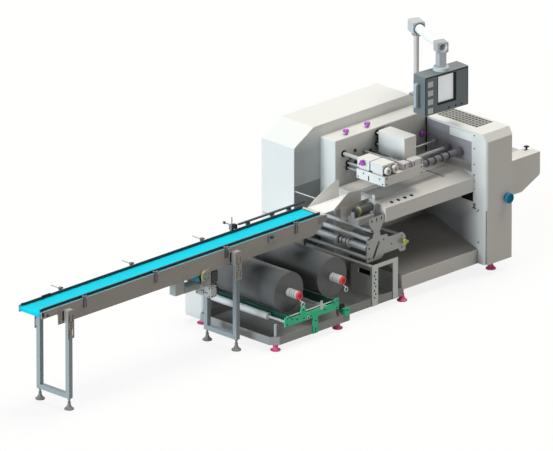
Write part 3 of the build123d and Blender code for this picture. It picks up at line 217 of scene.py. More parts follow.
def inside_box(tree, low, high, fade):
    """1 between two corners of the drawing, falling to 0 over the outer share called fade."""
    place = add(tree, "TexCoord").outputs["Object"]
    first, last = at(*low), at(*high)
    offset = add(tree, "VectorMath", {0: place, 1: (first + last) / 2}, operation="SUBTRACT")
    share = add(tree, "VectorMath", {0: offset.outputs[0], 1: (last - first) / 2}, operation="DIVIDE")
    share = add(tree, "VectorMath", {0: share.outputs[0]}, operation="ABSOLUTE")
    parts = add(tree, "SeparateXYZ", {"Vector": share.outputs[0]}).outputs
    largest = add(tree, "Math", {0: parts["X"], 1: parts["Y"]}, operation="MAXIMUM")
    largest = add(tree, "Math", {0: largest.outputs[0], 1: parts["Z"]}, operation="MAXIMUM")
    inside = add(tree, "MapRange", {"Value": largest.outputs[0], "From Min": 1.0, "From Max": 1.0 - fade})
    return inside.outputs[0]


def recolour(material, low, high, colour, fade=0.001):
    """Give the part of a piece between two corners another colour, without metal."""
    tree = material.node_tree
    surface = tree.nodes["Principled BSDF"]
    where = inside_box(tree, low, high, fade)
    under = surface.inputs["Base Color"].links[0].from_socket
    tree.links.new(blend_colours(tree, where, under, linear(colour)), surface.inputs["Base Color"])
    metal = surface.inputs["Metallic"]
    bare = add(tree, "Math", {0: 1.0, 1: where}, operation="SUBTRACT")
    before = metal.links[0].from_socket if metal.links else metal.default_value
    shown = add(tree, "Math", {0: bare.outputs[0], 1: before}, operation="MULTIPLY")
    tree.links.new(shown.outputs[0], metal)


def finish_nodes(material, *nodes):
    """Give the material to each of these solids of the frame."""
    for node in nodes:
        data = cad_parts[node].data
        data.materials.clear()
        data.materials.append(material)


grey_coat = powder_coat("grey_powder_coat", "#B4B0AA", "#A9A5A0", kept=0.4)
finish_nodes(grey_coat, "conveyor_side_plates", "leg_brackets", "drive_bracket")

leg_coat = powder_coat("blue_grey_powder_coat", "#A9B5B8", "#9EAAAD", kept=0.4)
# The near leg beside the reels greys upwards with painted shade, and each leg's head in its bracket is warm
# grey.
recolour(leg_coat, (1820, -214, 150), (1920, -114, 1298), "#89949A", fade=0.6)
recolour(leg_coat, (-40, -200, 724), (1910, 200, 860), "#B0ACA6")
finish_nodes(leg_coat, "leg_frames")


# Conveyor fasteners
# Zinc-plated hexagon screws with washers hold the plate joints, and blackened ones the leg brackets and the
# nose axle.
# Plating is thin and bright, so each head shows as a small pale dot with a dark edge.
plate_face_y = 130
plate_joint = [(x, z) for x in (1311, 1355) for z in (760, 839)]
nose_axle = (-249, 845)
nose_screw = (-199, 835)
leg_x = (0, 1870)
leg_face_y = 190
leg_screw_z = (690, 715, 737)
bracket_face_y = 136
leg_shade_slot_x = (-44, -27)
leg_shade_slot_z = (748, 828)
clouds_per_metre = 90


def turn(mesh, outline, foot, axis, steps=16):
    """Spin an outline of (radius, height) pairs about an axis that starts at foot."""
    axis = Vector(axis)
    spot = Matrix.Translation(at(*foot)) @ axis.to_track_quat("Z", "Y").to_matrix().to_4x4()
    points = [mesh.verts.new(spot @ Vector((radius / 1000, 0, height / 1000))) for radius, height in outline]
    lines = [mesh.edges.new(pair) for pair in zip(points, points[1:])]
    bmesh.ops.spin(
        mesh,
        geom=points + lines,
        cent=spot.to_translation(),
        axis=axis,
        angle=2 * math.pi,
        steps=steps,
        use_merge=True,
    )


def disc(mesh, foot, axis, radius, height, chamfer=0, sunk=1, bore=0, steps=20):
    """A round head, or a ring with a bore, chamfered on top and sunk a little into what holds it."""
    rim = [(radius - chamfer, height), (radius, height - chamfer)] if chamfer else [(radius, height)]
    turn(mesh, [(bore, height), *rim, (radius, -sunk), (bore, -sunk)], foot, axis, steps)


def screw(mesh, foot, axis, width):
    """A hexagon head with its chamfer on a flat washer; width is the washer's."""
    washer = width * 0.5
    head = width * 0.4
    turn(mesh, [(0, 1.2), (washer * 0.92, 1.2), (washer, 0.8), (washer, -0.5), (0, -0.5)], foot, axis, 14)
    turn(mesh, [(0, head), (head * 0.75, head), (head, head * 0.8), (head, 0.5), (0, 0.5)], foot, axis, 6)


def block(mesh, low, high, edge=1.0, segments=1):
    """A box between two corners of the drawing, with its edges rounded."""
    first, last = at(*low), at(*high)
    corners = bmesh.ops.create_cube(mesh, size=1.0)["verts"]
    place = Matrix.Translation((first + last) / 2) @ Matrix.Diagonal((*(last - first), 1))
    bmesh.ops.transform(mesh, matrix=place, verts=corners)
    bmesh.ops.bevel(
        mesh,
        geom=list({line for corner in corners for line in corner.link_edges}),
        offset=edge / 1000,
        segments=segments,
        profile=0.5,
        affect="EDGES",
        material=-1,
    )


def fit(name, mesh, material, body="frame"):
    """Close a finished mesh and fix it to a body of the machine as one piece."""
    bmesh.ops.remove_doubles(mesh, verts=mesh.verts, dist=0.00001)
    bmesh.ops.recalc_face_normals(mesh, faces=mesh.faces)
    data = bpy.data.meshes.new(name)
    mesh.to_mesh(data)
    mesh.free()
    data.materials.append(material)
    piece = bpy.data.objects.new(name, data)
    bpy.context.scene.collection.objects.link(piece)
    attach(piece, body)
    return piece


def block_set(name, material, slot, *rows):
    """One piece of rounded boxes; each row has two corners and how much its edges are rounded."""
    mesh = bmesh.new()
    for row in rows:
        block(mesh, *row)
    fit(name, mesh, material)


def screw_set(name, material, *rows):
    """One piece of many screws; each row has their feet, the way they point and the washer's width."""
    mesh = bmesh.new()
    for feet, axis, width in rows:
        for foot in feet:
            screw(mesh, foot, axis, width)
    fit(name, mesh, material)


def both_faces(points, y, width):
    """Rows of screws at the same points on the near and the far face of the conveyor."""
    return [([(x, side * y, z) for x, z in points], (0, side, 0), width) for side in (-1, 1)]


def darker(colour, share):
    """A hex colour as linear RGBA, with its light cut to a share."""
    return [c * share for c in linear(colour)[:3]] + [1]


def plated_steel(name, colour, roughness, metallic=0.9, kept=0.45):
    """Zinc-plated or ground steel with a faint cloudy tone."""
    made, tree, surface, place = start_material(name, Roughness=roughness, Metallic=metallic)
    cloud = add(tree, "TexNoise", {"Vector": place, "Scale": clouds_per_metre, "Detail": 3.0})
    tone = blend_colours(tree, cloud.outputs["Fac"], linear(colour), darker(colour, 0.8))
    tree.links.new(painted_recess_shade(tree, tone, kept), surface.inputs["Base Color"])
    return made


zinc = plated_steel("zinc_plated_steel", "#8E9194", 0.38)
# Blackened steel also serves as painted shade in the leg bracket slots.
dark_steel_and_shade = plated_steel("blackened_steel_and_painted_shade", "#2A2B2D", 0.45, metallic=0.4)

screw_set("plate_joint_screws", zinc, *both_faces(plate_joint, plate_face_y, 15))

mesh = bmesh.new()
for side in (-1, 1):
    out = (0, side, 0)
    face = (nose_axle[0], side * plate_face_y, nose_axle[1])
    disc(mesh, face, out, radius=11, height=5, chamfer=2)
    disc(mesh, face, out, radius=5, height=8, chamfer=1, sunk=-4, steps=6)
    screw(mesh, (nose_screw[0], side * plate_face_y, nose_screw[1]), out, 20)
fit("nose_axle_screws", mesh, dark_steel_and_shade)

leg_screws = [(x, z) for x in leg_x for z in leg_screw_z]
screw_set("leg_screws", dark_steel_and_shade, *both_faces(leg_screws, leg_face_y, 11))

# Black slots in each leg bracket are painted shadow that falls beside the leg.
mesh = bmesh.new()
for x in leg_x:
    for side in (-1, 1):
        across = sorted((side * (bracket_face_y - 1), side * (bracket_face_y + 1.5)))
        slot_low, slot_high = zip((x + leg_shade_slot_x[0], x + leg_shade_slot_x[1]), across, leg_shade_slot_z)
        block(mesh, slot_low, slot_high, 1)
fit("leg_bracket_slot_shade", mesh, dark_steel_and_shade)


# Conveyor feet
# Injection-moulded polyamide cones on plated stems, with a rubber pad below. Moulding gives an even
# matt skin with a fine speckle.
specks_per_metre = 300


def moulded(name, colour, roughness=0.5, speckle=0.10, kept=0.5, **shader):
    """Moulded plastic with a speckle that dims its colour by a share."""
    made, tree, surface, place = start_material(name, Roughness=roughness, IOR=1.5, **shader)
    specks = add(tree, "TexNoise", {
        "Vector": place, "Scale": specks_per_metre, "Detail": 3.0, "Roughness": 0.7,
    })
    tone = blend_colours(tree, specks.outputs["Fac"], linear(colour), darker(colour, 1 - speckle))
    tree.links.new(painted_recess_shade(tree, tone, kept), surface.inputs["Base Color"])
    grain = add(tree, "Bump", {"Height": specks.outputs["Fac"], "Strength": 0.12, "Distance": 0.0006})
    tree.links.new(grain.outputs[0], surface.inputs["Normal"])
    return made


foot_grey = moulded("grey_polyamide", "#8B8B88", 0.5)
finish_nodes(foot_grey, "conveyor_feet")


# Conveyor belt and its rollers
# A smooth PVC belt in cyan, welded into a loop, slides over a folded steel bed. The fabric behind the
# PVC prints through as a weave, drawn coarse so that it shows, and products dull a lane in the middle.
weave_pitch_mm = 9.896
# At a scale of 1 the wave texture repeats at this step, in metres.
wave_step = 2 * math.pi / 20
hand_marks_per_metre = 5
lane_half_mm = 75
lane_edge_mm = 30

belt_pvc, tree, surface, place = start_material(
    "cyan_pvc_belt", Roughness=0.6, IOR=1.53, Specular_IOR_Level=0.12
)
across = add(tree, "SeparateXYZ", {"Vector": place}).outputs["Y"]
lane_centre = at(0, 0, 0).y
off_centre = add(tree, "Math", {0: across, 1: lane_centre}, operation="SUBTRACT")
off_centre = add(tree, "Math", {0: off_centre.outputs[0]}, operation="ABSOLUTE")
lane = add(tree, "MapRange", {
    "Value": off_centre.outputs[0],
    "From Min": lane_half_mm / 1000,
    "From Max": (lane_half_mm + lane_edge_mm) / 1000,
})
handled = add(tree, "TexNoise", {"Vector": place, "Scale": hand_marks_per_metre, "Detail": 4.0})
tone = blend_colours(tree, handled.outputs["Fac"], linear("#00E4F8"), linear("#14CFEE"))
tone = blend_colours(tree, lane.outputs[0], tone, linear("#0CC6E2"))
tree.links.new(painted_recess_shade(tree, tone, 0.4), surface.inputs["Base Color"])
weave = add(tree, "TexWave", {"Vector": place, "Scale": wave_step * 1000 / weave_pitch_mm, "Distortion": 0.4})
print_through = add(tree, "Bump", {"Height": weave.outputs["Fac"], "Strength": 0.05, "Distance": 0.0003})
tree.links.new(print_through.outputs[0], surface.inputs["Normal"])
finish_nodes(belt_pvc, "conveyor_belt")


def brushed_sheet(name, colour, roughness=0.42, metallic=0.5, grain=(12, 500, 500), kept=0.3):
    """Brushed stainless sheet; grain counts the scratches per metre, coarser than real so that they show."""
    made, tree, surface, place = start_material(name, Roughness=roughness, Metallic=metallic)
    stretched = add(tree, "Mapping", {"Vector": place, "Scale": grain})
    scratches = add(tree, "TexNoise", {"Vector": stretched.outputs[0], "Scale": 1.0, "Detail": 4.0})
    tone = blend_colours(tree, scratches.outputs["Fac"], linear(colour), darker(colour, 0.82))
    tree.links.new(painted_recess_shade(tree, tone, kept), surface.inputs["Base Color"])
    rough = add(tree, "MapRange", {
        "Value": scratches.outputs["Fac"], "To Min": roughness - 0.06, "To Max": roughness + 0.1,
    })
    tree.links.new(rough.outputs[0], surface.inputs["Roughness"])
    return made


bed_steel = brushed_sheet("belt_bed_steel", "#8D8C88")
roller_steel = plated_steel("ground_roller_steel", "#A5A8AA", 0.3)
finish_nodes(bed_steel, "slider_bed")
finish_nodes(roller_steel, "belt_rollers")


# Product guides
# Machined polyethylene rails, black and waxy, on folded stainless straps. Polished rods with clamp
# blocks set their width, and star knobs of black nylon lock them.
back_rail_y = (92, 108)
joint_clip_x = (-38, 56)
clip_pad_x = (-30, 36)
clip_pad_width = 12
sensor_x = 2126
sensor_z = 914
sensor_mount_y = 130

guide_black = moulded("black_polyethylene", "#17262B", 0.42, 0.2)
strap_steel = brushed_sheet("strap_stainless", "#766F79", grain=(500, 500, 12))
polished_rod = plated_steel("polished_rod", "#C6C8C8", 0.3, metallic=0.5, kept=0.55)
# Black nylon also serves as painted shade in holes, a slot and the screen recess.
dark_nylon_and_shade = moulded("black_nylon_and_painted_shade", "#1A1A1C", 0.5, Specular_IOR_Level=0.15)
tensioner_finish = brushed_sheet("tensioner_stainless", "#8F8D89")
# The head of the tensioner's bolt is black.
recolour(tensioner_finish, (2270, -163, 828), (2306, -144.5, 864), "#1D1D1F")
finish_nodes(guide_black, "guide_rails")
finish_nodes(strap_steel, "rail_brackets")
finish_nodes(polished_rod, "rail_rods")
finish_nodes(tensioner_finish, "belt_tensioner")

block_set(
    "guide_joint_clip", dark_nylon_and_shade, "dark_rail",
    ((joint_clip_x[0], back_rail_y[0], 884), (joint_clip_x[1], back_rail_y[1], 897), 2),
    *[((x, back_rail_y[0] - 2, 880), (x + clip_pad_width, back_rail_y[1] + 2, 886), 1) for x in clip_pad_x],
)

mesh = bmesh.new()
block(mesh, (sensor_x - 14, sensor_mount_y, 872), (sensor_x + 14, 164, 920), 3, 2)
disc(mesh, (sensor_x, 236, sensor_z), (0, 1, 0), radius=12, height=0, chamfer=1, sunk=14)
fit("sensor_clamp", mesh, zinc)

mesh = bmesh.new()
block(mesh, (sensor_x - 16, back_rail_y[0], 896), (sensor_x + 16, sensor_mount_y, 932), 4, 2)
disc(mesh, (sensor_x, back_rail_y[0], sensor_z), (0, -1, 0), radius=7, height=10, chamfer=2, sunk=0, steps=16)
fit("sensor_head", mesh, dark_nylon_and_shade)

block_set("nose_corner_cap", dark_nylon_and_shade, "dark_rail", ((-265, -134, 846), (-246, -128, 872), 2))


# Belt drive
# A cast alloy gearbox and a finned motor with a ribbed terminal box, painted light grey. The chain
# case is black, and the two drum bearings are moulded in pale yellow-green.
drum_x, drum_z = 1549, 712
bearing_face_y = 150
bearing_cover = [(0, 4), (34, 4), (37, 2), (37, -1), (0, -1)]
cover_screw_circle = 26
motor_axis = (31, 578)
motor_fin = [(37, 0), (43, 0), (43, 4), (37, 4)]
motor_fin_x = range(1466, 1606, 14)
gearbox_end_x = 1619
gearbox_end_screw_y = (-112, 30)
gearbox_front_y = -130
gearbox_front_screw_x = (1630, 1674)
gearbox_screw_z = (508, 576)
chain_case_y = -136
chain_case_screw_x = (1632, 1680)
chain_case_screw_z = (634, 710)
box_rib_z = (570, 590, 610, 630)
gland_foot = (1400, 20, 663)
gland = [(0, 6), (9, 6), (11, 4), (11, 2), (14, 2), (14, -1), (0, -1)]

drive_alloy = plated_steel("painted_cast_alloy", "#E6E8E8", 0.5, metallic=0.0, kept=0.85)
# In turn: the chain case, both halves of the near bearing, and the far bearing.
recolour(drive_alloy, (1621, -137, 600), (1691, -95.5, 719), "#1C1D1E")
recolour(drive_alloy, (1490, -151, 650), (1534, -137.8, 770), "#C9CE92")
recolour(drive_alloy, (1534, -151, 650), (1600, -137.8, 770), "#A8A5A1")
recolour(drive_alloy, (1490, 137.8, 650), (1600, 151, 770), "#C9CE92")
finish_nodes(drive_alloy, "drive_gearmotor")


def turned_set(name, material, outline, feet, axis, steps, body="frame"):
    """One piece that has the same turned outline at every foot."""
    mesh = bmesh.new()
    for foot in feet:
        turn(mesh, outline, foot, axis, steps)
    fit(name, mesh, material, body)


mesh = bmesh.new()
for side in (-1, 1):
    turn(mesh, bearing_cover, (drum_x, side * bearing_face_y, drum_z), (0, side, 0), 40)
fit("drum_bearing_covers", mesh, bed_steel)

fin_feet = [(x, *motor_axis) for x in motor_fin_x]
turned_set("motor_fins", drive_alloy, motor_fin, fin_feet, (1, 0, 0), 32)

block_set(
    "terminal_box_ribs", drive_alloy, "cast_alloy",
    *[((1342.5, 2, z), (1347, 60, z + 6), 1) for z in box_rib_z],
)

cover_screws = [
    (drum_x + cover_screw_circle * math.cos(angle), drum_z + cover_screw_circle * math.sin(angle))
    for angle in map(math.radians, (45, 135, 225, 315))
]
screw_set(
    "drive_screws", dark_steel_and_shade,
    ([(gearbox_end_x, y, z) for y in gearbox_end_screw_y for z in gearbox_screw_z], (-1, 0, 0), 13),
    ([(x, gearbox_front_y, z) for x in gearbox_front_screw_x for z in gearbox_screw_z], (0, -1, 0), 11),
    ([(x, chain_case_y, z) for z in chain_case_screw_z for x in chain_case_screw_x], (0, -1, 0), 10),
    *both_faces(cover_screws, bearing_face_y + bearing_cover[0][1], 9),
)

slot_x = (gearbox_end_x - 1, gearbox_end_x + 1)
block_set(
    "gearbox_slots", dark_nylon_and_shade, "dark_rail",
    ((slot_x[0], -52, 514), (slot_x[1], -45, 552), 0.4),
    ((slot_x[0], -38, 536), (slot_x[1], -14, 542), 0.4),
    ((slot_x[0], -92, 528), (slot_x[1], -60, 534), 0.4),
)

turned_set("terminal_box_gland", dark_nylon_and_shade, gland, [gland_foot], (0, 0, 1), 20)


# Unwinder base and housing
# A folded tray of grey-coated sheet on moulded magenta feet carries a closed housing in smooth white
# powder coat. A removable panel at the back is held by quarter-turn locks.
lock_head = [(0, 3), (5, 3), (5, 2), (9, 2), (10, 1), (10, -0.5), (0, -0.5)]
lock_slot_half = (7, 7, 1.2)
lock_slot_height = 4
lock_inset = 30
back_panel_x = (2110, 3060)
back_panel_y = (600, 604)
back_panel_z = (110, 560)

tray_coat = powder_coat("tray_powder_coat", "#ABAEAC", "#9FA2A0", kept=0.55)
white_coat = powder_coat("white_powder_coat", "#EFEFEB", "#E9E9E5", kept=0.2)
magenta = moulded("magenta_polyamide", "#FF5F9A", 0.42, kept=0.85)
# Two feet show their plated and their darkened stem above the tray.
recolour(magenta, (2074, -402, 119.5), (2102, -374, 221), "#B9BDBF")
recolour(magenta, (2770, -410, 119.5), (2810, -366, 221), "#5A5E60")
finish_nodes(tray_coat, "base_tray")
finish_nodes(white_coat, "unwind_housing")
finish_nodes(magenta, "levelling_feet")


def service_panel(name, low, high, axis, locks):
    """A flat cover sheet over an opening, with quarter-turn locks that point along the axis."""
    mesh = bmesh.new()
    block(mesh, low, high, 1.0, 2)
    fit(name, mesh, white_coat)
    mesh = bmesh.new()
    for spot in locks:
        turn(mesh, lock_head, spot, axis, 20)
        sides = list(zip(spot, axis, lock_slot_half))
        slot_low = [place if along else place - half for place, along, half in sides]
        slot_high = [place + (lock_slot_height if along else half) for place, along, half in sides]
        block(mesh, slot_low, slot_high, 0.3)
    fit(f"{name}_locks", mesh, dark_steel_and_shade)


service_panel(
    "unwind_back_panel",
    (back_panel_x[0], back_panel_y[0], back_panel_z[0]),
    (back_panel_x[1], back_panel_y[1], back_panel_z[1]),
    (0, 1, 0),
    [
        (x, back_panel_y[1], z)
        for x in (back_panel_x[0] + lock_inset, back_panel_x[1] - lock_inset)
        for z in (back_panel_z[0] + lock_inset, back_panel_z[1] - lock_inset)
    ],
)


# Film rolls on their mandrels
# Dark packaging film is wound tightly on a core: a satin side with faint lengthwise bands, and end
# faces of fine rings. Each turned steel mandrel has a moulded red cap and a pull ring of bent wire.
reel_x = (2294, 2786)
reel_z = 425
ring_pitch_mm = 9
bands_per_metre = 14
core_end_y = -330
core_edge = [(37.9, 0), (46, 0), (46, -3), (37.9, -3)]
mandrel_x = (2200, 2900)
mandrel_z = (370, 480)
groove_y = (-420, -396, -372)
groove_width = 6

film, tree, surface, place = start_material("wound_dark_film", Roughness=0.36, IOR=1.5)
first_axis = at(reel_x[0], 0, reel_z)
next_reel = (reel_x[1] - reel_x[0]) / 1000
along = add(tree, "SeparateXYZ", {"Vector": place}).outputs["X"]
second = add(tree, "Math", {0: along, 1: first_axis.x + next_reel / 2}, operation="GREATER_THAN")
shift = add(tree, "VectorMath", {0: (next_reel, 0, 0), "Scale": second.outputs[0]}, operation="SCALE")
centred = add(tree, "VectorMath", {0: place, 1: first_axis}, operation="SUBTRACT")
centred = add(tree, "VectorMath", {0: centred.outputs[0], 1: shift.outputs[0]}, operation="SUBTRACT")
radial = add(tree, "VectorMath", {0: centred.outputs[0], 1: (1, 0, 1)}, operation="MULTIPLY")
radius = add(tree, "VectorMath", {0: radial.outputs[0]}, operation="LENGTH").outputs["Value"]
turns = add(tree, "Math", {0: radius, 1: 1000 / ring_pitch_mm}, operation="MULTIPLY")
layers = add(tree, "TexNoise", {"W": turns.outputs[0], "Scale": 1.0, "Detail": 3.0}, noise_dimensions="1D")
banded = add(tree, "Mapping", {"Vector": place, "Scale": (0, bands_per_metre, 0)})
bands = add(tree, "TexNoise", {"Vector": banded.outputs[0], "Scale": 1.0, "Detail": 3.0})
both = add(tree, "Math", {0: layers.outputs["Fac"], 1: bands.outputs["Fac"]}, operation="MULTIPLY")
tone = blend_colours(tree, both.outputs[0], linear("#616364"), linear("#46494A"))
tree.links.new(painted_recess_shade(tree, tone, 0.25), surface.inputs["Base Color"])
finish_nodes(film, "film_roll_1", "film_roll_2")

mandrel_steel = plated_steel("turned_mandrel_steel", "#E2E3E0", 0.36, metallic=0.25, kept=0.8)
# In turn: the red cap, the joint line round it, and three grooves in the steel, darkened with painted shade.
for near_y, far_y, colour in (
    (-461, -443.9, "#FF4D5E"),
    (-455.6, -454.4, "#B4303C"),
    *[(y, y + groove_width, "#6B6C6C") for y in groove_y],
):
    recolour(
        mandrel_steel, (mandrel_x[0], near_y, mandrel_z[0]), (mandrel_x[1], far_y, mandrel_z[1]), colour
    )
finish_nodes(mandrel_steel, "mandrel_1", "mandrel_2")
bearing_alloy = plated_steel("cast_alloy", "#B9BCBD", 0.45, metallic=0.2)
finish_nodes(bearing_alloy, "mandrel_bearings")

core_board = moulded("core_board", "#6B6862", 0.8)
for number, x in enumerate(reel_x, 1):
    name, core_end = f"roll_core_edge_{number}", [(x, core_end_y, reel_z)]
    turned_set(name, core_board, core_edge, core_end, (0, 1, 0), 48, f"reel_{number}")


# Splice frame
# Plate cut and sprayed bright green, where the end of one film is joined to the next. Blackened screws
# hold it, and a hinge bush with a bright ring sits in its middle post.
splice_face_y = -438
splice_spots = (
    (2171, 258), (2171, 205), (2226, 240), (2282, 224), (2360, 214), (2440, 210), (2598, 222),
    (2700, 246), (2734, 262), (2734, 205), (2492, 159), (2492, 90), (2492, 66), (2352, 286),
)
bracket_spot = (2854, 150)
bush_spot = (2406, splice_face_y, 205)
bush_bore = 9
hinge_face_y = -434

green_coat = powder_coat("green_powder_coat", "#3AE8AC", "#34D89F", kept=0.35)
# The long channel below the reels lies in their shade.
recolour(green_coat, (2140, -427, 176), (2827, 410, 310), "#0F4A3B")
finish_nodes(green_coat, "splice_frame")
rod_steel = plated_steel("bright_rod", "#D9DBDB", 0.3, metallic=0.3, kept=0.8)
finish_nodes(rod_steel, "splice_rods")

screw_set(
    "splice_screws", dark_steel_and_shade,
    ([(x, splice_face_y, z) for x, z in splice_spots], (0, -1, 0), 13),
    ([(bracket_spot[0], splice_face_y, bracket_spot[1])], (0, -1, 0), 15),
)

mesh = bmesh.new()
disc(mesh, bush_spot, (0, -1, 0), radius=15, height=4, chamfer=1, bore=bush_bore, steps=24)
fit("splice_bush_ring", mesh, rod_steel)
mesh = bmesh.new()
disc(mesh, bush_spot, (0, -1, 0), radius=bush_bore, height=1, steps=24)
fit("splice_bush_bore", mesh, dark_nylon_and_shade)

mesh = bmesh.new()
block(mesh, (2755, hinge_face_y, 180), (2829, hinge_face_y + 26, 208), 3, 2)
disc(mesh, (2786, hinge_face_y, 194), (0, -1, 0), radius=9, height=4, chamfer=1)
fit("splice_hinge_block", mesh, dark_nylon_and_shade)


# Film path
# Turned alloy rollers run on fixed shafts between two stainless plates. The plates and the perforated
# post frame are laser cut and brushed, so they are pale; black discs and a black bar paint the shade in
# their round holes and a slot.
film_plate_face_y = -274
plate_bolts = ((3264, 437), (3264, 523), (3264, 600), (3300, 662))
plate_screws = ((3252, 560), (3430, 560), (3520, 500), (3640, 540), (3640, 440))
post_face_y = -337
post_hole_x = (3263, 3277)
post_hole_z = (120, 150, 180, 215, 245, 275, 305, 335)
plate_slot_shade = ((3262, -267.5, 738), (3412, -265.5, 768), 0.4)
hole_shade_disc = [(0, 0.8), (8, 0.8), (8.5, 0.4), (8.5, -0.5), (0, -0.5)]
sleeve_x, sleeve_z = 3264, 523
sleeve_bore = 30.2
sleeve_ring = [(sleeve_bore, -4), (40, -4), (42, -2), (42, 6), (40, 8), (sleeve_bore, 8)]
sleeve_ring_y = (-61, 64)
lock_band = [(sleeve_bore, 0), (32, 0), (32, 9), (sleeve_bore, 9)]
lock_band_y = (-42, 4, 38)

pale_sleeve = moulded("pale_roller_sleeve", "#EEF0F1", 0.5, kept=0.8)
alloy = plated_steel("anodised_alloy", "#DDE2E4", 0.38, metallic=0.3, kept=0.3)
plate_steel = brushed_sheet("plate_stainless", "#A5A6A2", grain=(500, 500, 14), kept=0.5)
post_steel = brushed_sheet("post_stainless", "#C0C2BE", grain=(500, 500, 14), kept=0.55)
# The back plate is a darker copy of the front plate's steel: painted shade in the gaps between the rollers.
back_plate_shaded_steel = brushed_sheet("back_plate_stainless_painted_shade", "#6F7576", grain=(500, 500, 14), kept=0.3)
finish_nodes(pale_sleeve, "low_roller")
finish_nodes(alloy, "film_roller_1", "film_roller_2", "film_roller_3", "film_roller_4")
finish_nodes(rod_steel, "roller_shafts")
finish_nodes(plate_steel, "film_plate_front")
finish_nodes(post_steel, "post_frame")
finish_nodes(back_plate_shaded_steel, "film_plate_back")

screw_set(
    "film_plate_screws", dark_steel_and_shade,
    ([(x, film_plate_face_y, z) for x, z in plate_bolts], (0, -1, 0), 15),
    ([(x, film_plate_face_y, z) for x, z in plate_screws], (0, -1, 0), 12),
)

# Black discs in the post frame's holes and a black bar in the plate's slot are painted shade.
mesh = bmesh.new()
for number, z in enumerate(post_hole_z):
    turn(mesh, hole_shade_disc, (post_hole_x[number % 2], post_face_y, z), (0, -1, 0))
block(mesh, *plate_slot_shade)
fit("film_plate_hole_shade", mesh, dark_nylon_and_shade)

for name, material, slot, outline, places in (
    ("sleeve_end_rings", rod_steel, "steel_bar", sleeve_ring, sleeve_ring_y),
    ("sleeve_lock_bands", dark_nylon_and_shade, "dark_rail", lock_band, lock_band_y),
):
    feet = [(sleeve_x, y, sleeve_z) for y in places]
    turned_set(name, material, outline, feet, (0, 1, 0), 40, "film_roller_2")


# Forming box and film drive
# Bright folded sheet wraps the film into a tube. The drive beside it is a small gearbox on a saddle,
# with a dark motor that has a yellow-green ring.
bright_sheet = brushed_sheet(
    "bright_folded_sheet", "#F0EFEB", roughness=0.38, metallic=0.25, grain=(14, 500, 500), kept=0.6
)
# In turn: the mouth's ears in the shade, the floor polished by the product, and the near wing.
recolour(bright_sheet, (2820, -136, 800), (2935, -120, 905), "#8C8684")
recolour(bright_sheet, (2936, -93.5, 855), (3510, 93.5, 867), "#FFFFFF")
recolour(bright_sheet, (3000, -99, 867), (3360, -93, 990), "#C9C8C3")
drive_paint = plated_steel("drive_casting", "#A5A3A1", 0.5, metallic=0.0)
# The dark motor, then its ring.
recolour(drive_paint, (3160, -240, 798), (3370, -160, 880), "#303231")
recolour(drive_paint, (3196, -240, 798), (3222, -160, 880), "#93964F")
finish_nodes(bright_sheet, "forming_box")
finish_nodes(drive_paint, "film_drive_box")


# Machine body
# Welded and folded sheet in smooth white powder coat: plinth, sealing table, inner housing and the
# tall rear cover, whose back has two doors with hinges and locks. Low and shaded faces are greyer with
# painted shade.
cover_back_y = 794
door_x = ((3180, 3868), (3884, 4590))
door_z = (150, 1180)
door_lock_z = (330, 665, 1000)
door_hinge_z = (280, 665, 1050)
hinge_half = 35
hinge_pin = [(0, 0), (5, 0), (5, 2 * hinge_half), (0, 2 * hinge_half)]

plinth_coat = powder_coat("plinth_powder_coat", "#EFEFEB", "#E9E9E5")
# Painted shade on the sloped floor under the table.
recolour(plinth_coat, (3560, -321, 218), (4470, 270, 390), "#82807E")
cover_coat = powder_coat("cover_powder_coat", "#F1F1EE", "#EDEDEA", kept=0.2)
# Painted shade on the tall cover's front face.
recolour(cover_coat, (1500, 420, 560), (5300, 430, 1310), "#BCC2C2", fade=0.35)
# A painted shadow on a patch of the cover's lower front, up to the height of the table top.
recolour(cover_coat, (3118, 425.5, 600), (3414.5, 427, 905), "#8A9092")
table_coat = powder_coat("table_powder_coat", "#EFEFEB", "#E9E9E5", kept=0.2)
# Painted shade on the table top.
recolour(table_coat, (3430, -282, 825), (4470, 270, 920), "#DAD8D4")
finish_nodes(plinth_coat, "plinth")
finish_nodes(cover_coat, "rear_cover")
finish_nodes(table_coat, "sealing_table")
finish_nodes(white_coat, "inner_housing")

block_set("plinth_port_cover", dark_nylon_and_shade, "dark_rail", ((3583, 34, 102), (3588, 180, 174), 2))

for number, (left, right) in enumerate(door_x, 1):
    service_panel(
        f"rear_door_{number}",
        (left, cover_back_y - 1, door_z[0]),
        (right, cover_back_y + 2, door_z[1]),
        (0, 1, 0),
        [(right - 40, cover_back_y + 2, z) for z in door_lock_z],
    )
    mesh = bmesh.new()
    for z in door_hinge_z:
        turn(mesh, hinge_pin, (left - 4, cover_back_y + 1, z - hinge_half), (0, 0, 1), 12)
        block(mesh, (left - 28, cover_back_y - 1, z - 32), (left + 24, cover_back_y + 4, z + 32), 1)
    fit(f"rear_door_hinges_{number}", mesh, dark_steel_and_shade)


# End sealing cabinet
# A white-coated cabinet whose hood lifts above a seam. A tinted guard closes the product tunnel, a
# perforated sheet covers the vent on top, and a blue hand wheel sets the jaw height.
stripe_pitch_mm = 55
cabinet_face_x = 4460
cabinet_screw_spots = (
    (-281, 1180), (-281, 1069), (-281, 932), (-281, 843), (-281, 791), (-281, 723), (-330, 554), (-330, 278),
)
end_face_x = 4763
end_lock_y = (-330, 340)
end_lock_z = (160, 510)
grille_x = (4546, 4740)
grille_y = (-222, 232)
grille_z = (1207, 1211)
hole_pitch = 37.8
hole_radius = 12.8
hole_columns = 5
hole_rows = 12
grille_rim = (grille_x[1] - grille_x[0] - hole_pitch * hole_columns) / 2
vent_shade_inset = 9
vent_shade_depth = 6

cabinet_coat = powder_coat("cabinet_powder_coat", "#EFEFEB", "#E9E9E5", kept=0.2)
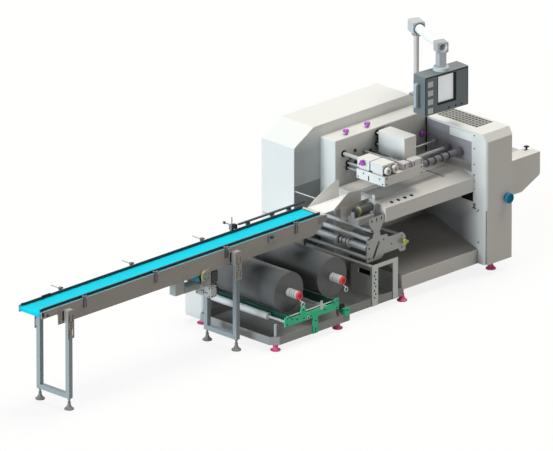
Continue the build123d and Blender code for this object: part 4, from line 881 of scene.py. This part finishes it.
# The face towards the table greys away from the light, most of all under the table.
recolour(cabinet_coat, (4458, -411, -700), (4462, 900, 1260), "#BBBBBA", fade=0.6)
recolour(cabinet_coat, (4458, -330, -400), (4462, 1000, 590), "#86868A", fade=0.3)
finish_nodes(cabinet_coat, "cabinet_base", "cabinet_hood")

guard_tint, tree, surface, place = start_material("tinted_polycarbonate", Roughness=0.25, IOR=1.58)
height = add(tree, "SeparateXYZ", {"Vector": place}).outputs["Z"]
stripe_turn = 2 * math.pi * 1000 / stripe_pitch_mm
stripe = add(tree, "Math", {0: height, 1: stripe_turn}, operation="MULTIPLY")
stripe = add(tree, "Math", {0: stripe.outputs[0]}, operation="SINE")
stripe = add(tree, "MapRange", {"Value": stripe.outputs[0], "From Min": 0.6, "From Max": 0.9})
tone = blend_colours(tree, stripe.outputs[0], linear("#A39EA8"), linear("#93A09B"))
tree.links.new(painted_recess_shade(tree, tone, 0.5), surface.inputs["Base Color"])
finish_nodes(guard_tint, "tunnel_guard")

wheel_blue = moulded("blue_polyamide", "#0F8AB4", 0.45, Specular_IOR_Level=0.2)
knob_purple = moulded("purple_polyamide", "#BE4FCB", 0.4)
# The knob on the film plate is yellow-green.
recolour(knob_purple, (3600, -330, 430), (3710, -270, 545), "#C8CC66")
finish_nodes(wheel_blue, "handwheel")
finish_nodes(knob_purple, "clamp_knobs")

grille_steel = powder_coat("grey_grille_coat", "#A3A39D", "#9A9A94", roughness=0.6, kept=0.9)
mesh = bmesh.new()
for column in range(hole_columns):
    for row in range(hole_rows):
        middle = at(
            grille_x[0] + grille_rim + hole_pitch * (column + 0.5),
            grille_y[0] + hole_pitch * (row + 0.5),
            grille_z[1],
        )
        spot = Matrix.Translation(middle)
        border = bmesh.ops.create_grid(mesh, x_segments=1, y_segments=1, size=hole_pitch / 2000, matrix=spot)
        bmesh.ops.delete(mesh, geom=border["verts"][0].link_faces[:], context="FACES_ONLY")
        sides = list({line for corner in border["verts"] for line in corner.link_edges})
        bmesh.ops.subdivide_edges(mesh, edges=sides, cuts=2)
        bmesh.ops.create_circle(mesh, segments=12, radius=hole_radius / 1000, matrix=spot)
        bmesh.ops.bridge_loops(mesh, edges=[line for line in mesh.edges if not line.link_faces])
bmesh.ops.remove_doubles(mesh, verts=mesh.verts, dist=0.00002)
pulled = bmesh.ops.extrude_face_region(mesh, geom=mesh.faces[:])
lower = [part for part in pulled["geom"] if isinstance(part, bmesh.types.BMVert)]
bmesh.ops.translate(mesh, verts=lower, vec=(0, 0, (grille_z[0] - grille_z[1]) / 1000))
for left, right in ((grille_x[0], grille_x[0] + grille_rim), (grille_x[1] - grille_rim, grille_x[1])):
    block(mesh, (left, grille_y[0], grille_z[0]), (right, grille_y[1], grille_z[1]), 0.3)
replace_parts(fit("perforated_grille", mesh, grille_steel), "cabinet_grille")

# A black sheet under the grille is painted shade inside the vent.
vent_shade_paint = moulded("black_vent_shade", "#161616", 0.95, 0.3, kept=1.0)
block_set("vent_shade_sheet", vent_shade_paint, "dark_rail", (
    (grille_x[0] + vent_shade_inset, grille_y[0] + vent_shade_inset, grille_z[0] - vent_shade_depth),
    (grille_x[1] - vent_shade_inset, grille_y[1] - vent_shade_inset, grille_z[0]),
    1,
))

cabinet_screws = [(cabinet_face_x, y, z) for y, z in cabinet_screw_spots]
screw_set("cabinet_screws", dark_steel_and_shade, (cabinet_screws, (-1, 0, 0), 13))

# Black rubber also serves as painted shade in a corner by the cabinet.
dark_rubber_and_shade = moulded("black_seal_rubber_and_painted_shade", "#1C1B1B", 0.7, Specular_IOR_Level=0.15)
# A black seal, a black strip painting the shade in the corner between the wall and the cabinet, and a black
# patch on the cabinet's face just under the table's end.
block_set(
    "cabinet_seal_corner_shade_and_patch", dark_rubber_and_shade, "dark_rail",
    ((4461, -415, 112), (4467, -412, 566), 0.6),
    ((4450, 252, 912), (4461, 261, 1208), 2),
    ((4459.4, -268, 612), (4462, -140, 700), 1),
)
block_set("guard_top_rail", white_coat, "white_paint", ((4463, -250, 1116), (4467, 2, 1190), 1.5))

mesh = bmesh.new()
block(mesh, (4452, -306, 556), (4461, -266, 566), 2)
block(mesh, (4452, -300, 586), (4461, -272, 598), 2)
disc(mesh, (cabinet_face_x, -286, 575), (-1, 0, 0), radius=7, height=9, chamfer=1, steps=16)
disc(mesh, (cabinet_face_x, -318, 540), (-1, 0, 0), radius=6, height=5, chamfer=1, steps=16)
fit("hood_latch", mesh, zinc)

service_panel(
    "cabinet_end_panel", (end_face_x, -360, 130), (end_face_x + 3, 370, 540), (1, 0, 0),
    [(end_face_x + 3, y, z) for y in end_lock_y for z in end_lock_z],
)


# Sealing unit over the table
# White-coated housing and gear boxes on ground shafts that run back into the wall through black
# flanged bushes. Clamp blocks in pale zinc hold the jaws' adjusting screws.
wall_y = 260
wall_rods = (
    (3557, 1004, 10), (3557, 1044, 10), (3850, 1004, 10), (3850, 1044, 10),
    (3512, 1134, 15), (3890, 1215, 9), (3978, 1120, 9), (3890, 1120, 9),
)
wall_stud_spots = ((3641, 1128), (3591, 1077), (3647, 1028), (3817, 1083), (3907, 1160))
wall_stud = [(0, 16), (7, 16), (9, 14), (9, 4), (13, 4), (13, -1), (0, -1)]
clamp_x, clamp_z = 3746, 1096
clamp_collar_y = -158
clamp_shaft = [(0, 422), (9, 422), (9, 0), (15, 0), (15, -2), (0, -2)]
unit_left_x = 3478
unit_left_screws = ((0, 1040), (-181, 1037), (-215, 1000), (60, 1000))
unit_front_y = -237
unit_front_screw_x = (3500, 3896)
unit_front_screw_z = (1000, 1048)
clamp_face_y = -232
clamp_block_x = ((3700, 3780), (3804, 3915))
clamp_screw_inset = 16
clamp_screw_z = (1084, 1104)
drum_centre_x = (3521, 3599)
drum_centre_z = 1106
drum_seal_y = -213
drum_seal = [(31.2, 0), (35, 0), (35, 5), (31.2, 5)]
shaft_clamp = [(28.2, 0), (32, 0), (33, 1), (33, 13), (32, 14), (28.2, 14)]
shaft_clamp_x = (3985, 4065, 4145, 4225, 4305)
near_shaft = (-120, 1008)
table_hole_x = [3555 + 75.5 * hole for hole in range(4)]
table_hole_yz = (-240, 835.7)
table_hole_cap = [(0, 1), (15, 1), (16.5, 0.4), (16.5, -0.5), (0, -0.5)]
table_slope_normal = (0, -0.262, 0.965)

jaw_shaft_steel = plated_steel("jaw_shaft_steel", "#CDCFCF", 0.34, metallic=0.3, kept=0.35)
# The clamped near shaft is darker, and so are both ends next to the guard.
recolour(jaw_shaft_steel, (3919, -165, 960), (4470, -75, 1056), "#7A7682")
recolour(jaw_shaft_steel, (4400, -165, 960), (4470, 60, 1056), "#77737C")
clamp_zinc = plated_steel("pale_clamp_zinc", "#E2DFE3", 0.45, metallic=0.1, kept=0.7)
finish_nodes(white_coat, "seal_unit_housing", "seal_unit_boxes", "cover_box")
finish_nodes(jaw_shaft_steel, "seal_unit_shafts")
finish_nodes(polished_rod, "hooked_rod")
finish_nodes(clamp_zinc, "clamp_blocks")

turned_set(
    "table_hole_caps", dark_nylon_and_shade, table_hole_cap,
    [(x, *table_hole_yz) for x in table_hole_x], table_slope_normal, 24,
)

mesh = bmesh.new()
for x, z, rod in wall_rods:
    collar, flange, bore = rod + 6, rod + 12, rod + 0.2
    bush = [(bore, 8), (collar - 1, 8), (collar, 7), (collar, 3), (flange, 3), (flange, -1), (bore, -1)]
    turn(mesh, bush, (x, wall_y, z), (0, -1, 0), 24)
fit("wall_bushes", mesh, dark_nylon_and_shade)

stud_feet = [(x, wall_y, z) for x, z in wall_stud_spots]
turned_set("wall_studs", dark_steel_and_shade, wall_stud, stud_feet, (0, -1, 0), 20)

mesh = bmesh.new()
turn(mesh, clamp_shaft, (clamp_x, wall_y, clamp_z), (0, -1, 0), 24)
disc(mesh, (clamp_x, clamp_collar_y, clamp_z), (0, 1, 0), radius=14, height=30, chamfer=1, sunk=0, steps=24)
fit("clamp_rod", mesh, polished_rod)

clamp_screw_x = [
    x for left, right in clamp_block_x for x in (left + clamp_screw_inset, right - clamp_screw_inset)
]
screw_set(
    "sealing_unit_screws", dark_steel_and_shade,
    ([(unit_left_x, y, z) for y, z in unit_left_screws], (-1, 0, 0), 13),
    ([(x, unit_front_y, z) for x in unit_front_screw_x for z in unit_front_screw_z], (0, -1, 0), 12),
    ([(x, clamp_face_y, z) for x in clamp_screw_x for z in clamp_screw_z], (0, -1, 0), 12),
)
block_set(
    "sealing_unit_slot", dark_rubber_and_shade, "dark_rail",
    ((unit_left_x - 0.5, -62, 990), (unit_left_x + 1, -50, 1032), 0.3),
)

seal_feet = [(x, drum_seal_y, drum_centre_z) for x in drum_centre_x]
turned_set("drum_seals", dark_rubber_and_shade, drum_seal, seal_feet, (0, -1, 0), 32)

mesh = bmesh.new()
for x in drum_centre_x:
    disc(mesh, (x, unit_front_y, drum_centre_z), (0, -1, 0), radius=12.5, height=1, sunk=0.5)
fit("drum_axle_ends", mesh, zinc)

clamp_feet = [(x, *near_shaft) for x in shaft_clamp_x]
turned_set("jaw_shaft_clamps", dark_steel_and_shade, shaft_clamp, clamp_feet, (1, 0, 0), 28)


# Operator panel
# A cast and painted case with a recessed screen that is switched on but blank, moulded keys, and
# plated side handles. It hangs from a round arm on a cast coupling that lets it swivel.
panel_x, panel_y = 4342, -18
panel_turn = Matrix.Rotation(math.radians(-4.5), 3, "Z")
panel_face_y = panel_y - 73.5
panel_half_width = 232
panel_bottom = 1378.7
panel_height = 329
screen_middle = (panel_x + 2, panel_bottom + 188.5)
screen_half = (98.5, 122.5)
recess_depth = 26
key_offsets = (22, 95, 158)
key_height = 22
screen_glow = 0.55
screen_clouds_per_metre = 6
elbow_spot = (4519.4, 402.6, 1907)
arm_axis = (-0.389, -0.921, 0)
pole_head = (4542, 456, 1854)
pole_clamp = [(22.3, 0), (40, 0), (40, 12), (32, 16), (32, 28), (22.3, 28)]

panel_coat = powder_coat("panel_grey_paint", "#7F898C", "#757F82", roughness=0.5, kept=0.5)
# The ring on top is pale, and the case is darker below its top face.
recolour(panel_coat, (4200, -140, 1708.6), (4490, 100, 1745), "#D0D6D7")
recolour(panel_coat, (4090, -140, 1370), (4600, 70, 1707.2), "#6D777B")
screen_glass, tree, surface, place = start_material("blank_lit_screen", Roughness=0.2, IOR=1.5)
faint = add(tree, "TexNoise", {"Vector": place, "Scale": screen_clouds_per_metre, "Detail": 1.0})
tone = blend_colours(tree, faint.outputs["Fac"], linear("#D8DCE0"), linear("#CFD4D9"))
tree.links.new(tone, surface.inputs["Base Color"])
tree.links.new(tone, surface.inputs["Emission Color"])
surface.inputs["Emission Strength"].default_value = screen_glow
key_grey = moulded("grey_key_plastic", "#E0E5E5", 0.5, kept=0.8)
handle_coat = plated_steel("painted_handle", "#B4C4CC", 0.4, metallic=0.1, kept=0.7)
coupling_alloy = plated_steel("coupling_cast_alloy", "#BCC1C5", 0.45, metallic=0.1, kept=0.7)
elbow_alloy = plated_steel("elbow_cast_alloy", "#D2D6D9", 0.45, metallic=0.1, kept=0.7)
tube_white = powder_coat("white_tube_enamel", "#FDFDFC", "#FBFBFA", roughness=0.4, kept=1.0)
pole_coat = powder_coat("pole_powder_coat", "#D6D2CC", "#CECAC4", kept=0.8)
clamp_steel = plated_steel("dark_clamp_steel", "#6A6E70", 0.45, metallic=0.2)
finish_nodes(panel_coat, "panel_case")
finish_nodes(screen_glass, "panel_screen")
finish_nodes(key_grey, "panel_buttons")
finish_nodes(handle_coat, "panel_handles")
finish_nodes(coupling_alloy, "panel_coupling")
finish_nodes(elbow_alloy, "panel_elbow")
finish_nodes(tube_white, "panel_arm")
finish_nodes(pole_coat, "panel_pole")


def fit_on_panel(name, mesh, material):
    """Turn a mesh that was drawn square to the way that the panel faces, and let it swivel with it."""
    bmesh.ops.rotate(mesh, verts=mesh.verts, cent=at(panel_x, panel_y, 0), matrix=panel_turn)
    fit(name, mesh, material, "panel")


left, right = (screen_middle[0] + side * screen_half[0] for side in (-1, 1))
bottom, top = (screen_middle[1] + side * screen_half[1] for side in (-1, 1))
# A thin black gasket round the screen, widened on the right and at the bottom as painted shade in the recess.
mesh = bmesh.new()
for x, z in (
    ((left, left + 3), (bottom, top)),
    ((right - 15, right), (bottom, top)),
    ((left, right), (bottom, bottom + 13)),
    ((left, right), (top - 3, top)),
):
    block(mesh, (x[0], panel_face_y - 0.5, z[0]), (x[1], panel_face_y + recess_depth, z[1]), 0.4)
fit_on_panel("screen_gasket_and_recess_shade", mesh, dark_nylon_and_shade)

left, right = (panel_x + side * panel_half_width for side in (-1, 1))
bottom, top = panel_bottom, panel_bottom + panel_height
mesh = bmesh.new()
for x, z in (
    ((left + 3, left + 12), (bottom + 6, top - 6)),
    ((right - 9, right - 4), (bottom + 6, top - 6)),
    ((left + 3, right - 4), (top - 13, top - 5)),
):
    block(mesh, (x[0], panel_face_y - 0.6, z[0]), (x[1], panel_face_y + 2, z[1]), 0.5)
fit_on_panel("panel_bezel", mesh, dark_rubber_and_shade)

mesh = bmesh.new()
for offset in key_offsets:
    foot = (panel_x + offset, panel_face_y, panel_bottom + key_height)
    disc(mesh, foot, (0, -1, 0), radius=8, height=3, chamfer=2, steps=16)
fit_on_panel("panel_key_switches", mesh, dark_nylon_and_shade)

mesh = bmesh.new()
disc(mesh, elbow_spot, arm_axis, radius=48, height=5, chamfer=2, bore=38.3, steps=40)
turn(mesh, pole_clamp, pole_head, (0, 0, -1), 32)
fit("elbow_clamp_rings", mesh, clamp_steel)


# Discharge conveyor
# A white-coated frame with a bright strip along its front and a smooth pale belt between two rollers.
# A small black sensor on a bracket looks across the belt.
discharge_pvc = moulded("pale_pvc_belt", "#C9C7CF", 0.45, 0.05)
finish_nodes(white_coat, "discharge_frame")
finish_nodes(discharge_pvc, "discharge_belt")

mesh = bmesh.new()
block(mesh, (5062, -280, 916), (5098, -246, 926), 3, 2)
block(mesh, (5074, -268, 894), (5086, -258, 918), 1)
fit("discharge_sensor", mesh, dark_nylon_and_shade)
